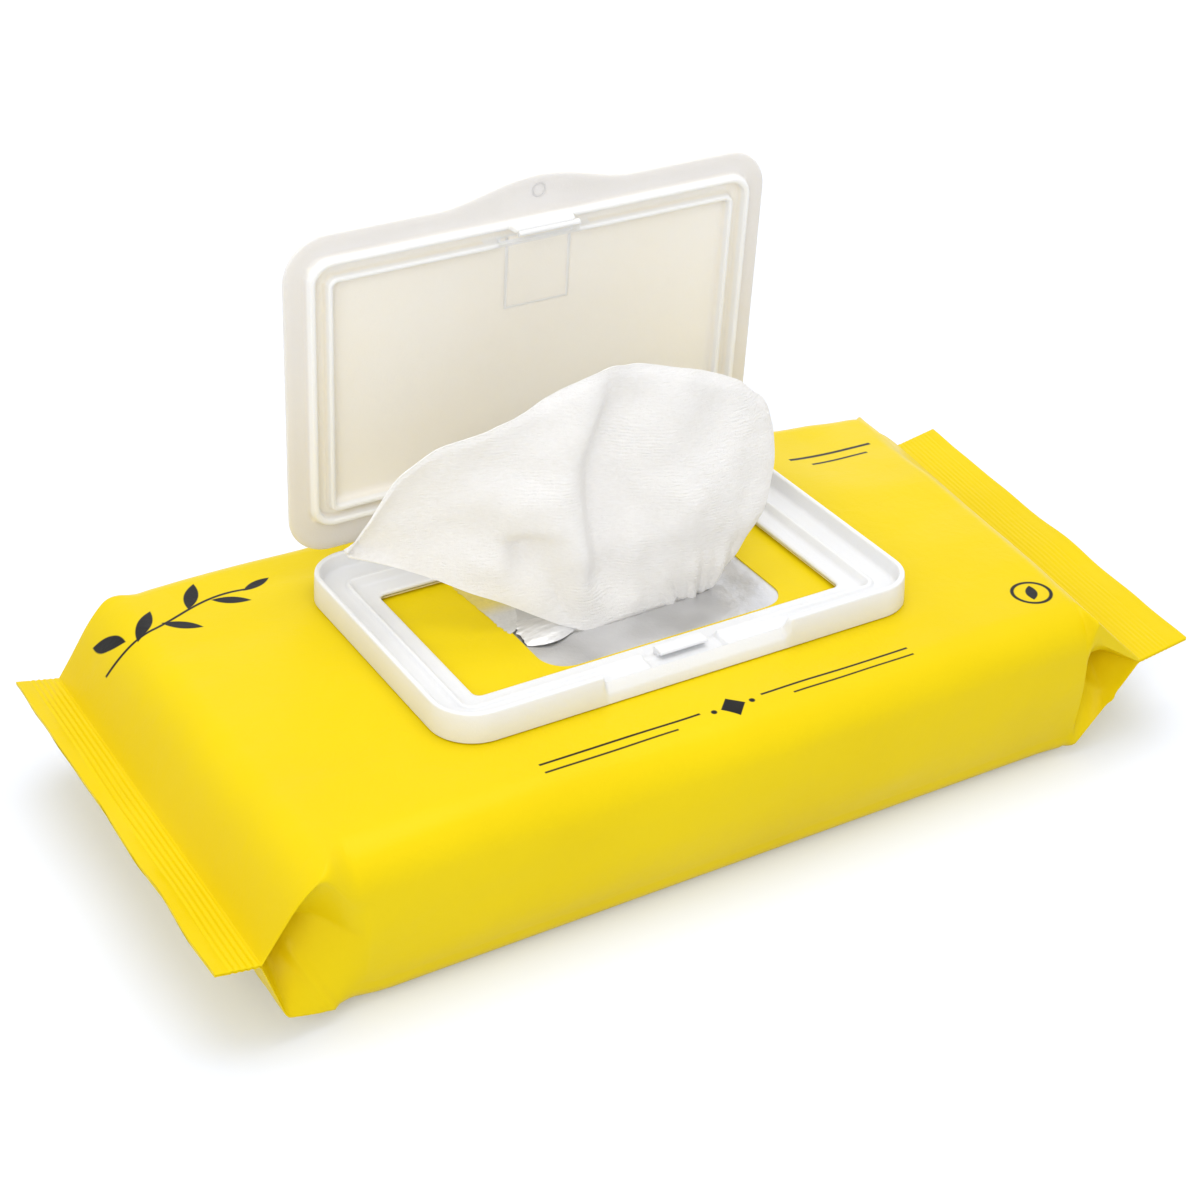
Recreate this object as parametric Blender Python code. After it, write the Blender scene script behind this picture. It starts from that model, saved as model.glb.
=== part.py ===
"""Wet wipes pack: a gusseted film pouch round a stack of folded wipes, with a glued-on flip-top frame.

Metres, +Z up. X runs along the pack, +Y points to the lid's hinge, and Z = 0 is the surface it rests on.
The origin is the middle of the pack's footprint.
"""

import math

import bmesh
import bpy
from mathutils import Vector

MM = 0.001

# Pouch: outside sizes of the film tube and its two crimped ends
PACK_LENGTH = 225 * MM
PACK_WIDTH = 104 * MM
PACK_HEIGHT = 35 * MM
FILM_WALL = 0.8 * MM
TOP_EDGE_RADIUS = 9 * MM
BOTTOM_EDGE_RADIUS = 5 * MM
SIDE_BULGE = 1.2 * MM
SIDE_TAPER = 3.0 * MM
FIN_LENGTH = 10 * MM
FIN_THICKNESS = 1.2 * MM
FIN_HEIGHT = 20 * MM
FIN_RISE = 1.5 * MM
FIN_INSET = 2.0 * MM
CRIMP_PITCH = 1.6 * MM
CRIMP_DEPTH = 0.25 * MM
CRIMP_COUNT = 5
SHOULDER_RUN = 13.5 * MM
SHOULDER_RADIUS = 6 * MM
HEEL_RUN = 8.5 * MM
HEEL_RADIUS = 4 * MM
GUSSET_RUN = 22 * MM
GUSSET_DEPTH = 16 * MM
GUSSET_STEEPNESS = 2.2
EDGE_TIGHTENING = 0.8
RIGHT_END_SKEW = 8 * MM
SKEW_RUN = 60 * MM
SEAM_WIDTH = 12 * MM
SEAM_SIDE_GAP = 0.6 * MM
SEAM_LIFT = 0.7 * MM
SEAM_SAG = 0.5 * MM
SEAM_VALLEY = 12 * MM

# Clearance between pieces that touch on the real pack
SEAT = 0.3 * MM

# Place of the flip-top frame on the pouch
FRAME_X = -3.5 * MM
FRAME_Y = 1.0 * MM

# Peeled opening in the printed film, and the foil ply seen in it
OPENING_LENGTH = 54 * MM
OPENING_WIDTH = 36 * MM
OPENING_RADIUS = 6 * MM
OPENING_X = FRAME_X + 4 * MM
OPENING_Y = FRAME_Y - 1.5 * MM
FOIL_LAP = 5 * MM
FOIL_THICKNESS = 0.4 * MM
SLOT_LENGTH = 46 * MM
SLOT_WIDTH = 10 * MM
SLOT_X = FRAME_X + 1 * MM
SLOT_Y = FRAME_Y - 4.5 * MM
TORN_LIP_HEIGHT = 1.8 * MM
TORN_LIP_SHARE = 0.3

# Flip-top frame
FRAME_LENGTH = 105 * MM
FRAME_WIDTH = 66 * MM
FRAME_RADIUS = 9 * MM
FLANGE_SIDE = 11.4 * MM
FLANGE_FRONT = 12.4 * MM
WINDOW_RADIUS = 0.9 * MM
RIM_HEIGHT = 6.1 * MM
RIM_THICKNESS = 1.2 * MM
RIM_ROUND = 0.4 * MM
RIM_DRAFT = 0.3 * MM
GROOVE_HEIGHT = 2.6 * MM
GROOVE_WIDTH = 3.8 * MM
BEAD_HEIGHT = 0.6 * MM
BEAD_WIDTH = 0.5 * MM
LAND_HEIGHT = 1.5 * MM
LAND_THICKNESS = 0.9 * MM
FRAME_WALL = 1.1 * MM
THUMB_HALF_WIDTH = 21 * MM
THUMB_SLANT = 1.5 * MM
THUMB_DROP = 2.0 * MM
THUMB_SETBACK = 1.4 * MM
POCKET_HALF_WIDTH = 8.7 * MM
CATCH_HALF_WIDTH = 5.8 * MM
CATCH_THICKNESS = 1.1 * MM
CATCH_HEIGHT = 4.5 * MM
CATCH_FOOT = 1.6 * MM
CATCH_REACH = 2.1 * MM
STEP = 0.4 * MM
GLUE_THICKNESS = 0.3 * MM
GLUE_MARGIN = 0.4 * MM

# Lid, hinge and catch
LID_SIDE_OVERHANG = 0.7 * MM
LID_FRONT_OVERHANG = 0.6 * MM
LID_RADIUS = 9 * MM
LID_WALL = 1.2 * MM
LID_EDGE_ROUND = 0.45 * MM
PANEL_STEP = 0.7 * MM
OUTER_RIB_INSET = 4.9 * MM
OUTER_RIB_REAR = 7.2 * MM
OUTER_RIB_HEIGHT = 3.0 * MM
OUTER_RIB_WIDTH = 1.0 * MM
INNER_RIB_SPACING = 3.8 * MM
INNER_RIB_REAR = 3.0 * MM
INNER_RIB_HEIGHT = 2.4 * MM
INNER_RIB_WIDTH = 0.8 * MM
INNER_RIB_RADIUS = 1.2 * MM
RIB_DRAFT = 0.1 * MM
TAB_REACH = 3.6 * MM
TONGUE_HALF_WIDTH = 7.2 * MM
TONGUE_HEIGHT = 4.2 * MM
TONGUE_LIP = 0.9 * MM
HINGE_BEHIND = 1.8 * MM
HINGE_HEEL = 0.9 * MM
HINGE_END_MARGIN = 16.5 * MM
HINGE_THICKNESS = 0.4 * MM
HINGE_SAG = 0.25 * MM
OPEN_ANGLE = 86.0

# Wipes
STACK_END_MARGIN = 27 * MM
STACK_CLEARANCE = 1.2 * MM
STACK_FOLDS = 9
FOLD_DEPTH = 0.7 * MM
WIPE_THICKNESS = 0.8 * MM
WIPE_SPREAD = 87 * MM
WIPE_LEFT_SHARE = 0.575
WIPE_RISE = 50 * MM
WIPE_LEAN = 10 * MM
WIPE_RIGHT_BOW = 4 * MM
WIPE_DIP = 3.5 * MM

# Heights, lengths and places that follow from the sizes above
WINDOW_LENGTH = FRAME_LENGTH - 2 * FLANGE_SIDE
WINDOW_WIDTH = FRAME_WIDTH - 2 * FLANGE_FRONT
LID_LENGTH = FRAME_LENGTH + 2 * LID_SIDE_OVERHANG
LID_REACH = FRAME_WIDTH + HINGE_BEHIND + HINGE_HEEL + LID_FRONT_OVERHANG
HINGE_HALF_WIDTH = FRAME_LENGTH / 2 - HINGE_END_MARGIN
STACK_LENGTH = PACK_LENGTH - 2 * (FIN_LENGTH + STACK_END_MARGIN)
TOP_Z = PACK_HEIGHT
FRAME_FOOT_Z = TOP_Z + SEAT
RIM_Z = FRAME_FOOT_Z + RIM_HEIGHT
GROOVE_Z = FRAME_FOOT_Z + GROOVE_HEIGHT
LAND_Z = FRAME_FOOT_Z + LAND_HEIGHT
HINGE_Y = FRAME_Y + FRAME_WIDTH / 2 + HINGE_BEHIND
HINGE_Z = RIM_Z + SEAT
FOIL_TOP_Z = TOP_Z - FILM_WALL - SEAT
FOIL_BOTTOM_Z = FOIL_TOP_Z - FOIL_THICKNESS
STACK_TOP_Z = FOIL_BOTTOM_Z - 2 * SEAT
STACK_BOTTOM_Z = SEAM_LIFT + FILM_WALL + SEAT
WIPE_BOTTOM_Z = STACK_TOP_Z + SEAT

CORNER_STEPS = 6
OVAL_POINTS = 48


def smooth_min(a, b, radius):
    """The lesser of two heights, rounded over where they meet."""
    overlap = max(radius - abs(a - b), 0.0) / radius
    return min(a, b) - overlap * overlap * radius / 4


def smooth_max(a, b, radius):
    return -smooth_min(-a, -b, radius)


def ramp(value, low, high):
    """0 below low, 1 above high, with soft ends."""
    share = min(max((value - low) / (high - low), 0.0), 1.0)
    return share * share * (3 - 2 * share)


def make_object(name, bm, material, smooth_angle=35):
    """A closed, outward-facing mesh object from a bmesh."""
    bmesh.ops.recalc_face_normals(bm, faces=bm.faces)
    mesh = bpy.data.meshes.new(name)
    bm.to_mesh(mesh)
    bm.free()
    mesh.shade_smooth()
    mesh.set_sharp_from_angle(angle=math.radians(smooth_angle))
    mesh.materials.append(material)
    made = bpy.data.objects.new(name, mesh)
    bpy.context.collection.objects.link(made)
    return made


def make_material(name, colour, roughness, metallic=0.0):
    material = bpy.data.materials.new(name)
    material.use_nodes = True
    shader = material.node_tree.nodes["Principled BSDF"]
    shader.inputs["Base Color"].default_value = (*colour, 1.0)
    shader.inputs["Roughness"].default_value = roughness
    shader.inputs["Metallic"].default_value = metallic
    return material


def skin(loops, closed):
    """Quads between successive loops of points: a closed ring, or a body capped at both ends."""
    bm = bmesh.new()
    rows = [[bm.verts.new(point) for point in loop] for loop in loops]
    pairs = list(zip(rows, rows[1:]))
    if closed:
        pairs.append((rows[-1], rows[0]))
    for near, far in pairs:
        for k in range(len(near)):
            after = (k + 1) % len(near)
            bm.faces.new((near[k], near[after], far[after], far[k]))
    if not closed:
        bm.faces.new(reversed(rows[0]))
        bm.faces.new(rows[-1])
    return bm


def prism(outline, low, high, axis):
    """A flat outline of (a, b) pairs pushed from low to high along X or Z."""
    if axis == "X":
        return skin([[(end, a, b) for a, b in outline] for end in (low, high)], closed=False)
    return skin([[(a, b, end) for a, b in outline] for end in (low, high)], closed=False)


def use_boolean(target, other, operation):
    """Cuts or joins a guide object, which stays hidden in the file."""
    modifier = target.modifiers.new(other.name, "BOOLEAN")
    modifier.operation = operation
    modifier.solver = "EXACT"
    modifier.object = other
    other.hide_render = True
    other.display_type = "WIRE"


def rounded_rectangle(left, right, front, rear, radius, stations=()):
    """Points anticlockwise from the front side's left end, with extra points at stations along that side."""
    points = [(x, front) for x in stations]
    corners = (
        (right - radius, front + radius, -90),
        (right - radius, rear - radius, 0),
        (left + radius, rear - radius, 90),
        (left + radius, front + radius, 180),
    )
    for x, y, start in corners:
        for k in range(CORNER_STEPS + 1):
            angle = math.radians(start + 90 * k / CORNER_STEPS)
            points.append((x + radius * math.cos(angle), y + radius * math.sin(angle)))
    return points


def oval(x, y, half_x, half_y, power):
    """A closed outline anticlockwise: a power of 1 gives an ellipse, less a squarer shape, more a pointed one."""
    points = []
    for k in range(OVAL_POINTS):
        angle = 2 * math.pi * k / OVAL_POINTS
        across = math.cos(angle)
        along = math.sin(angle)
        points.append((
            x + half_x * math.copysign(abs(across) ** power, across),
            y + half_y * math.copysign(abs(along) ** power, along),
        ))
    return points


# Pouch


def seal_distance(x):
    """How far inside the seal's inner edge a place along the pack lies."""
    return PACK_LENGTH / 2 - FIN_LENGTH - abs(x)


def panel_heights(x, inset):
    """Heights of the bottom and top panels at a place along the pack."""
    distance = seal_distance(x) - 1.5 * inset
    half = FIN_THICKNESS / 2
    rise = (PACK_HEIGHT - FIN_HEIGHT) * distance / SHOULDER_RUN
    fall = FIN_HEIGHT * distance / HEEL_RUN
    top = smooth_min(PACK_HEIGHT, FIN_HEIGHT + rise, SHOULDER_RADIUS)
    bottom = smooth_max(0.0, FIN_HEIGHT - fall, HEEL_RADIUS)
    top = max(top, FIN_HEIGHT + half)
    bottom = min(bottom, FIN_HEIGHT - half)
    return bottom + inset, top - inset


def edge_radii(x):
    """Radii of the lower and upper long edges, which tighten into creases towards the ends."""
    bottom, top = panel_heights(x, 0.0)
    easing = 1 - EDGE_TIGHTENING * (1 - ramp(seal_distance(x), 0.0, GUSSET_RUN))
    lower = min(BOTTOM_EDGE_RADIUS, 0.25 * (top - bottom)) * easing
    upper = min(TOP_EDGE_RADIUS, 0.4 * (top - bottom)) * easing
    return lower, upper


def side_offset(x, z, inset):
    """Half the pouch's width at a height, measured to the film's outside or that much further in."""
    bottom, top = panel_heights(x, 0.0)
    lower, upper = edge_radii(x)
    low = bottom + lower
    high = top - upper
    share = min(max((z - low) / (high - low), 0.0), 1.0)
    inwards = min(max(seal_distance(x) / GUSSET_RUN, 0.0), 1.0)
    body = ramp(inwards, 0.0, 1.0)
    tuck = min(GUSSET_DEPTH * (1 - inwards) ** 0.8, GUSSET_STEEPNESS * (high - low) / 2)
    steepness = tuck / ((high - low) / 2)
    width = PACK_WIDTH / 2 - FIN_INSET * (1 - body) - SIDE_TAPER * (1 - share) * body
    bulge = SIDE_BULGE * body * 4 * share * (1 - share)
    return width + bulge - tuck * (1 - abs(1 - 2 * share)) - inset * math.hypot(1, steepness)


def half_section(x, inset):
    """(y, z) points of the rear half of the pouch's section, from the bottom's middle to the top's middle."""
    bottom, top = panel_heights(x, inset)
    outer_bottom, outer_top = panel_heights(x, 0.0)
    lower, upper = (max(radius - inset, inset / 2) for radius in edge_radii(x))
    low = bottom + lower
    high = top - upper
    foot = side_offset(x, low, inset)
    head = side_offset(x, high, inset)
    lift = 0.0 if inset else SEAM_LIFT * ramp(seal_distance(x), 0.0, GUSSET_RUN)
    drop = lift * (1 - SEAM_SAG / SEAM_LIFT)
    seam = SEAM_WIDTH / 2
    points = [(0.0, bottom + drop), (seam, bottom + drop), (seam + SEAM_SIDE_GAP, bottom + lift)]
    points.append((seam + SEAM_VALLEY, bottom))
    points.append(((seam + SEAM_VALLEY + foot - lower) / 2, bottom))
    for k in range(5):
        angle = math.radians(-90 + 90 * k / 4)
        points.append((foot - lower + lower * math.cos(angle), low + lower * math.sin(angle)))
    middle = (outer_bottom + edge_radii(x)[0] + outer_top - edge_radii(x)[1]) / 2
    for near, far, steps in ((low, middle, (0.3, 0.65, 1.0)), (middle, high, (0.35, 0.7))):
        for share in steps:
            z = near + (far - near) * share
            points.append((side_offset(x, z, inset), z))
    for k in range(6):
        angle = math.radians(90 * k / 5)
        points.append((head - upper + upper * math.cos(angle), high + upper * math.sin(angle)))
    for share in (0.66, 0.33, 0.0):
        points.append(((head - upper) * share, top))
    return points


def pouch_ring(x, inset=0.0, lift=0.0):
    """A whole section of the pouch at x. The right-hand end is a little out of square."""
    half = half_section(x, inset)
    section = [(-y, z) for y, z in reversed(half[1:-1])]
    section = half + section
    edge = PACK_WIDTH / 2 - FIN_INSET
    share = ramp(x, PACK_LENGTH / 2 - SKEW_RUN, PACK_LENGTH / 2 - FIN_LENGTH)
    return [(x - RIGHT_END_SKEW * share * (edge - y) / (2 * edge), y, z + lift) for y, z in section]


def fin_stations():
    """(distance past the seal's inner edge, height change) along a crimped fin."""
    stations = []
    for k in range(CRIMP_COUNT):
        for offset, side in ((0.25, 1), (0.75, -1)):
            along = (k + offset) * CRIMP_PITCH
            stations.append((along, side * CRIMP_DEPTH))
    stations.append((FIN_LENGTH, 0.0))
    return [(along, bend + FIN_RISE * along / FIN_LENGTH) for along, bend in stations]


def build_pouch(material):
    seal = PACK_LENGTH / 2 - FIN_LENGTH
    inwards = [GUSSET_RUN * share for share in (0.02, 0.12, 0.24, 0.36, 0.48, 0.62, 0.78, 0.9, 1.0)]
    body = [seal - distance for distance in inwards] + [seal - SKEW_RUN, 20 * MM]
    loops = []
    for side in (-1, 1):
        rings = [pouch_ring(side * (seal + along), lift=lift) for along, lift in reversed(fin_stations())]
        rings += [pouch_ring(side * x) for x in body]
        loops += rings if side < 0 else rings[::-1]
    pouch = make_object("pouch", skin(loops, closed=False), material, smooth_angle=50)

    inner = [seal - GUSSET_RUN * share for share in (0.28, 0.36, 0.48, 0.62, 0.78, 0.9, 1.0)] + [seal - SKEW_RUN]
    inner = [-x for x in inner] + inner[::-1]
    rings = [pouch_ring(x, FILM_WALL) for x in inner]
    lowest = SEAM_LIFT + FILM_WALL
    rings = [[(x, y, max(z, lowest)) for x, y, z in ring] for ring in rings]
    hollow = make_object("pouch_hollow", skin(rings, closed=False), material)
    use_boolean(pouch, hollow, "DIFFERENCE")

    outline = rounded_rectangle(
        OPENING_X - OPENING_LENGTH / 2,
        OPENING_X + OPENING_LENGTH / 2,
        OPENING_Y - OPENING_WIDTH / 2,
        OPENING_Y + OPENING_WIDTH / 2,
        OPENING_RADIUS,
    )
    cut = prism(outline, TOP_Z - 2 * FILM_WALL, TOP_Z + FILM_WALL, "Z")
    use_boolean(pouch, make_object("opening_cut", cut, material), "DIFFERENCE")


def build_foil_ply(material):
    """The foil ply under the peeled film, with the slot that the wipes are drawn through."""
    outer = oval(OPENING_X, OPENING_Y, OPENING_LENGTH / 2 + FOIL_LAP, OPENING_WIDTH / 2 + FOIL_LAP, 0.25)
    slot = oval(SLOT_X, SLOT_Y, SLOT_LENGTH / 2, SLOT_WIDTH / 2, 1.1)
    start = SLOT_X - SLOT_LENGTH / 2
    torn = []
    for x, y in slot:
        along = (x - start) / (SLOT_LENGTH * TORN_LIP_SHARE)
        lift = ramp(along, 0.0, 0.4) * (1 - ramp(along, 0.4, 1.0)) if y > SLOT_Y else 0.0
        torn.append(TORN_LIP_HEIGHT * lift)
    flat = [(a + (c - a) * 0.2, b + (d - b) * 0.2) for (a, b), (c, d) in zip(slot, outer)]
    loops = [
        [(x, y, FOIL_TOP_Z) for x, y in outer],
        [(x, y, FOIL_BOTTOM_Z) for x, y in outer],
        [(x, y, FOIL_BOTTOM_Z) for x, y in flat],
        [(x, y, FOIL_BOTTOM_Z + up) for (x, y), up in zip(slot, torn)],
        [(x, y, FOIL_TOP_Z + up) for (x, y), up in zip(slot, torn)],
        [(x, y, FOIL_TOP_Z) for x, y in flat],
    ]
    make_object("foil_ply", skin(loops, closed=True), material)


# Flip-top frame


def front_stations():
    """Places along the front side where the thumb recess, pocket, tongue and tab change the section."""
    marks = {0.0, 2.7 * MM, CATCH_HALF_WIDTH - STEP}
    for edge in (TONGUE_HALF_WIDTH, POCKET_HALF_WIDTH):
        marks |= {edge - STEP, edge}
    reach = THUMB_HALF_WIDTH
    marks |= {reach, reach - THUMB_SLANT}
    marks |= {POCKET_HALF_WIDTH + (reach - THUMB_SLANT - POCKET_HALF_WIDTH) * k / 4 for k in (1, 2, 3)}
    marks = sorted(marks)
    return [-x for x in reversed(marks) if x > 0] + marks


def frame_loop(inset, z, stations):
    """A loop round the frame, a given distance in from its outer edge."""
    half_x = FRAME_LENGTH / 2 - inset
    half_y = FRAME_WIDTH / 2 - inset * FLANGE_FRONT / FLANGE_SIDE
    radius = max(FRAME_RADIUS - inset, WINDOW_RADIUS)
    return [(x, y, z) for x, y in rounded_rectangle(-half_x, half_x, -half_y, half_y, radius, stations)]


def on_front(x, y, limit):
    return abs(x) <= limit + 1e-6 and y < 0


def build_lid_base(material):
    """Open frame with a raised rim, a groove for the lid's rib, a sealing bead and a thumb recess."""
    stations = front_stations()
    flange = FLANGE_SIDE
    groove_in = RIM_THICKNESS + 1.0 * MM
    groove_out = groove_in + GROOVE_WIDTH
    bead = groove_out + STEP
    bead_end = bead + BEAD_WIDTH
    land = bead_end + 1.0 * MM
    ceiling = GROOVE_Z - FRAME_WALL
    land_bottom = LAND_Z - LAND_THICKNESS
    profile = [
        (0.0, FRAME_FOOT_Z),
        (RIM_DRAFT, RIM_Z - RIM_ROUND),
        (RIM_DRAFT + RIM_ROUND / 2, RIM_Z - RIM_ROUND * 0.15),
        (RIM_DRAFT + RIM_ROUND, RIM_Z),
        (RIM_THICKNESS - RIM_ROUND / 2, RIM_Z),
        (RIM_THICKNESS, RIM_Z - RIM_ROUND),
        (RIM_THICKNESS + 0.3 * MM, GROOVE_Z + RIM_ROUND),
        (groove_in, GROOVE_Z),
        (groove_out, GROOVE_Z),
        (bead, GROOVE_Z + BEAD_HEIGHT),
        (bead_end, GROOVE_Z + BEAD_HEIGHT),
        (land, LAND_Z),
        (flange - RIM_ROUND / 2, LAND_Z),
        (flange, LAND_Z - RIM_ROUND / 2),
        (flange, land_bottom),
        (land, land_bottom),
        (bead, ceiling),
        (RIM_THICKNESS + RIM_ROUND, ceiling),
        (FRAME_WALL, FRAME_FOOT_Z),
    ]
    outer_points = range(1, 6)
    inner_points = range(7, 11)
    loops = []
    for number, (inset, z) in enumerate(profile):
        loop = []
        for x, y, height in frame_loop(inset, z, stations):
            if number in outer_points and on_front(x, y, THUMB_HALF_WIDTH - THUMB_SLANT):
                height -= THUMB_DROP
                if number < 4:
                    y += THUMB_SETBACK * (1.0 if number > 1 else 0.75) * (1 - 0.25 * (number - 1))
            if number in inner_points and on_front(x, y, POCKET_HALF_WIDTH - STEP):
                height = LAND_Z
            loop.append((x + FRAME_X, y + FRAME_Y, height))
        loops.append(loop)
    base = make_object("lid_base", skin(loops, closed=True), material)

    front = FRAME_Y - WINDOW_WIDTH / 2
    foot = front - 1.8 * MM
    top = FRAME_FOOT_Z + CATCH_HEIGHT
    under = top - CATCH_THICKNESS
    hook = foot - CATCH_FOOT
    section = [
        (foot, LAND_Z - LAND_THICKNESS / 2),
        (foot, top),
        (hook - CATCH_REACH, top),
        (hook - CATCH_REACH, under),
        (hook, under),
        (hook, LAND_Z - LAND_THICKNESS / 2),
    ]
    catch = prism(section, FRAME_X - CATCH_HALF_WIDTH, FRAME_X + CATCH_HALF_WIDTH, "X")
    use_boolean(base, make_object("catch_bar", catch, material), "UNION")


def build_glue_ring(material):
    """The ring of adhesive between the frame's inner flange and the pouch."""
    inner = FLANGE_SIDE - GLUE_MARGIN
    outer = RIM_THICKNESS + 1.0 * MM + GROOVE_WIDTH + STEP + BEAD_WIDTH + 1.0 * MM
    low = TOP_Z + SEAT
    loops = []
    for inset, z in ((outer, low), (outer, low + GLUE_THICKNESS), (inner, low + GLUE_THICKNESS), (inner, low)):
        loops.append([(x + FRAME_X, y + FRAME_Y, height) for x, y, height in frame_loop(inset, z, ())])
    make_object("glue_ring", skin(loops, closed=True), material)


# Lid


def lid_loop(side, front, rear, z, radius, stations, tab=0.0):
    """A loop of the lid in its closed place, seen from its hinge: the free edge points to -Y."""
    near = HINGE_HEEL - LID_REACH + front
    far = HINGE_HEEL - rear
    half = LID_LENGTH / 2 - side
    loop = []
    for x, y in rounded_rectangle(-half, half, near, far, radius, stations):
        if tab and on_front(x, y + LID_REACH / 2, THUMB_HALF_WIDTH):
            y -= tab * (0.5 + 0.5 * math.cos(math.pi * x / THUMB_HALF_WIDTH))
        loop.append((x, y, z))
    return loop


def build_lid(material):
    """Flip lid: a flat flange, two sealing ribs, a stepped panel, a catch tongue and a thumb tab."""
    stations = front_stations()
    panel = PANEL_STEP
    width = OUTER_RIB_WIDTH / 2
    thin = INNER_RIB_WIDTH / 2
    outer = OUTER_RIB_INSET
    inner = OUTER_RIB_INSET + INNER_RIB_SPACING
    outer_rear = OUTER_RIB_REAR
    inner_rear = OUTER_RIB_REAR + INNER_RIB_REAR
    small = INNER_RIB_RADIUS
    large = LID_RADIUS - outer
    foot = RIB_DRAFT
    edge = LID_EDGE_ROUND
    rows = [
        (inner + 2 * thin, inner_rear + 2 * thin, panel, small, 0.0),
        (inner + thin + foot, inner_rear + thin + foot, panel, small, 0.0),
        (inner + thin, inner_rear + thin, -INNER_RIB_HEIGHT, small, 0.0),
        (inner - thin, inner_rear - thin, -INNER_RIB_HEIGHT, small + 2 * thin, 0.0),
        (inner - thin - foot, inner_rear - thin - foot, panel / 2, small + 2 * thin, 0.0),
        (outer + width + foot, outer_rear + width + foot, panel / 2, large - width, 0.0),
        (outer + width, outer_rear + width, -OUTER_RIB_HEIGHT, large - width, 0.0),
        (outer - width, outer_rear - width, -OUTER_RIB_HEIGHT, large + width, 0.0),
        (outer - width - foot, outer_rear - width - foot, 0.0, large + width, 0.0),
        (2 * edge, 2 * edge, 0.0, LID_RADIUS - 2 * edge, TAB_REACH),
        (edge / 2, edge / 2, edge / 2, LID_RADIUS - edge / 2, TAB_REACH),
        (0.0, 0.0, LID_WALL / 2, LID_RADIUS, TAB_REACH),
        (edge, edge, LID_WALL - edge / 4, LID_RADIUS - edge, TAB_REACH),
        (3 * edge, 3 * edge, LID_WALL, LID_RADIUS - 3 * edge, TAB_REACH),
        (outer - width, outer - width, LID_WALL, LID_RADIUS - outer + width, 0.0),
        (outer + 2 * width, outer + 2 * width, LID_WALL + panel, LID_RADIUS - outer, 0.0),
        (inner + 2 * thin, inner + 2 * thin, LID_WALL + panel, small, 0.0),
    ]
    inner_crest = (2, 3)
    outer_crest = (6, 7)
    loops = []
    for number, (inset, rear, z, radius, tab) in enumerate(rows):
        loop = []
        for x, y, height in lid_loop(inset, inset, rear, z, radius, stations, tab):
            if number in inner_crest and on_front(x, y + LID_REACH / 2, POCKET_HALF_WIDTH - STEP):
                height = panel if number == inner_crest[0] else panel / 2
            if number in outer_crest and on_front(x, y + LID_REACH / 2, TONGUE_HALF_WIDTH - STEP):
                height = -TONGUE_HEIGHT
            loop.append((x, y, height))
        loops.append(loop)
    lid = make_object("lid", skin(loops, closed=False), material)

    face = HINGE_HEEL - LID_REACH + outer + width
    low = -TONGUE_HEIGHT
    lip = [
        (face - width, low + 0.2 * MM),
        (face + TONGUE_LIP - 0.3 * MM, low + 0.2 * MM),
        (face + TONGUE_LIP, low + 0.5 * MM),
        (face - width, low + 1.4 * MM),
    ]
    reach = TONGUE_HALF_WIDTH - 2 * STEP
    tongue = make_object("tongue_lip", prism(lip, -reach, reach, "X"), material)
    use_boolean(lid, tongue, "UNION")
    for piece in (lid, tongue):
        piece.location = (FRAME_X, HINGE_Y, HINGE_Z)
        piece.rotation_euler = (-math.radians(OPEN_ANGLE), 0.0, 0.0)


def build_living_hinge(material):
    """The thin web that joins the frame's rear wall to the lid."""
    start = -HINGE_BEHIND + SEAT
    end = -SEAT
    half = HINGE_THICKNESS / 2
    level = -2 * SEAT
    top = []
    for k in range(5):
        share = k / 4
        top.append((start + (end - start) * share, level + half - HINGE_SAG * 4 * share * (1 - share)))
    outline = top + [(y, z - HINGE_THICKNESS) for y, z in reversed(top)]
    web = make_object("living_hinge", prism(outline, -HINGE_HALF_WIDTH, HINGE_HALF_WIDTH, "X"), material)
    web.location = (FRAME_X, HINGE_Y, HINGE_Z)


# Wipes


def build_wipes_stack(material):
    """The folded wipes left in the pouch, as one block with its folds along both long sides."""
    height = STACK_TOP_Z - STACK_BOTTOM_Z
    step = height / STACK_FOLDS
    rear = []
    for k in range(STACK_FOLDS):
        low = STACK_BOTTOM_Z + step * k
        near_bottom = max(BOTTOM_EDGE_RADIUS - step * k, 0.0)
        near_top = max(TOP_EDGE_RADIUS - (height - step * (k + 1)), 0.0)
        inset = BOTTOM_EDGE_RADIUS - math.sqrt(BOTTOM_EDGE_RADIUS**2 - near_bottom**2)
        inset += TOP_EDGE_RADIUS - math.sqrt(TOP_EDGE_RADIUS**2 - near_top**2)
        side = side_offset(0.0, low, FILM_WALL + STACK_CLEARANCE) - inset
        rear += [(side - FOLD_DEPTH, low), (side, low + step * 0.35), (side, low + step * 0.65)]
    rear.append((side - FOLD_DEPTH, STACK_TOP_Z))
    outline = rear + [(-y, z) for y, z in reversed(rear)]
    half = STACK_LENGTH / 2
    stack = prism(outline, FRAME_X - half, FRAME_X + half, "X")
    make_object("wipes_stack", stack, material)


def smooth_curve(points, share):
    """A point on a Catmull-Rom curve through the given points."""
    spans = len(points) - 1
    place = min(share * spans, spans - 1e-9)
    k = int(place)
    t = place - k
    a, b, c, d = (Vector(points[min(max(k + step, 0), spans)]) for step in (-1, 0, 1, 2))
    return 0.5 * (2 * b + (c - a) * t + (2 * a - 5 * b + 4 * c - d) * t**2 + (3 * b - a - 3 * c + d) * t**3)


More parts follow.
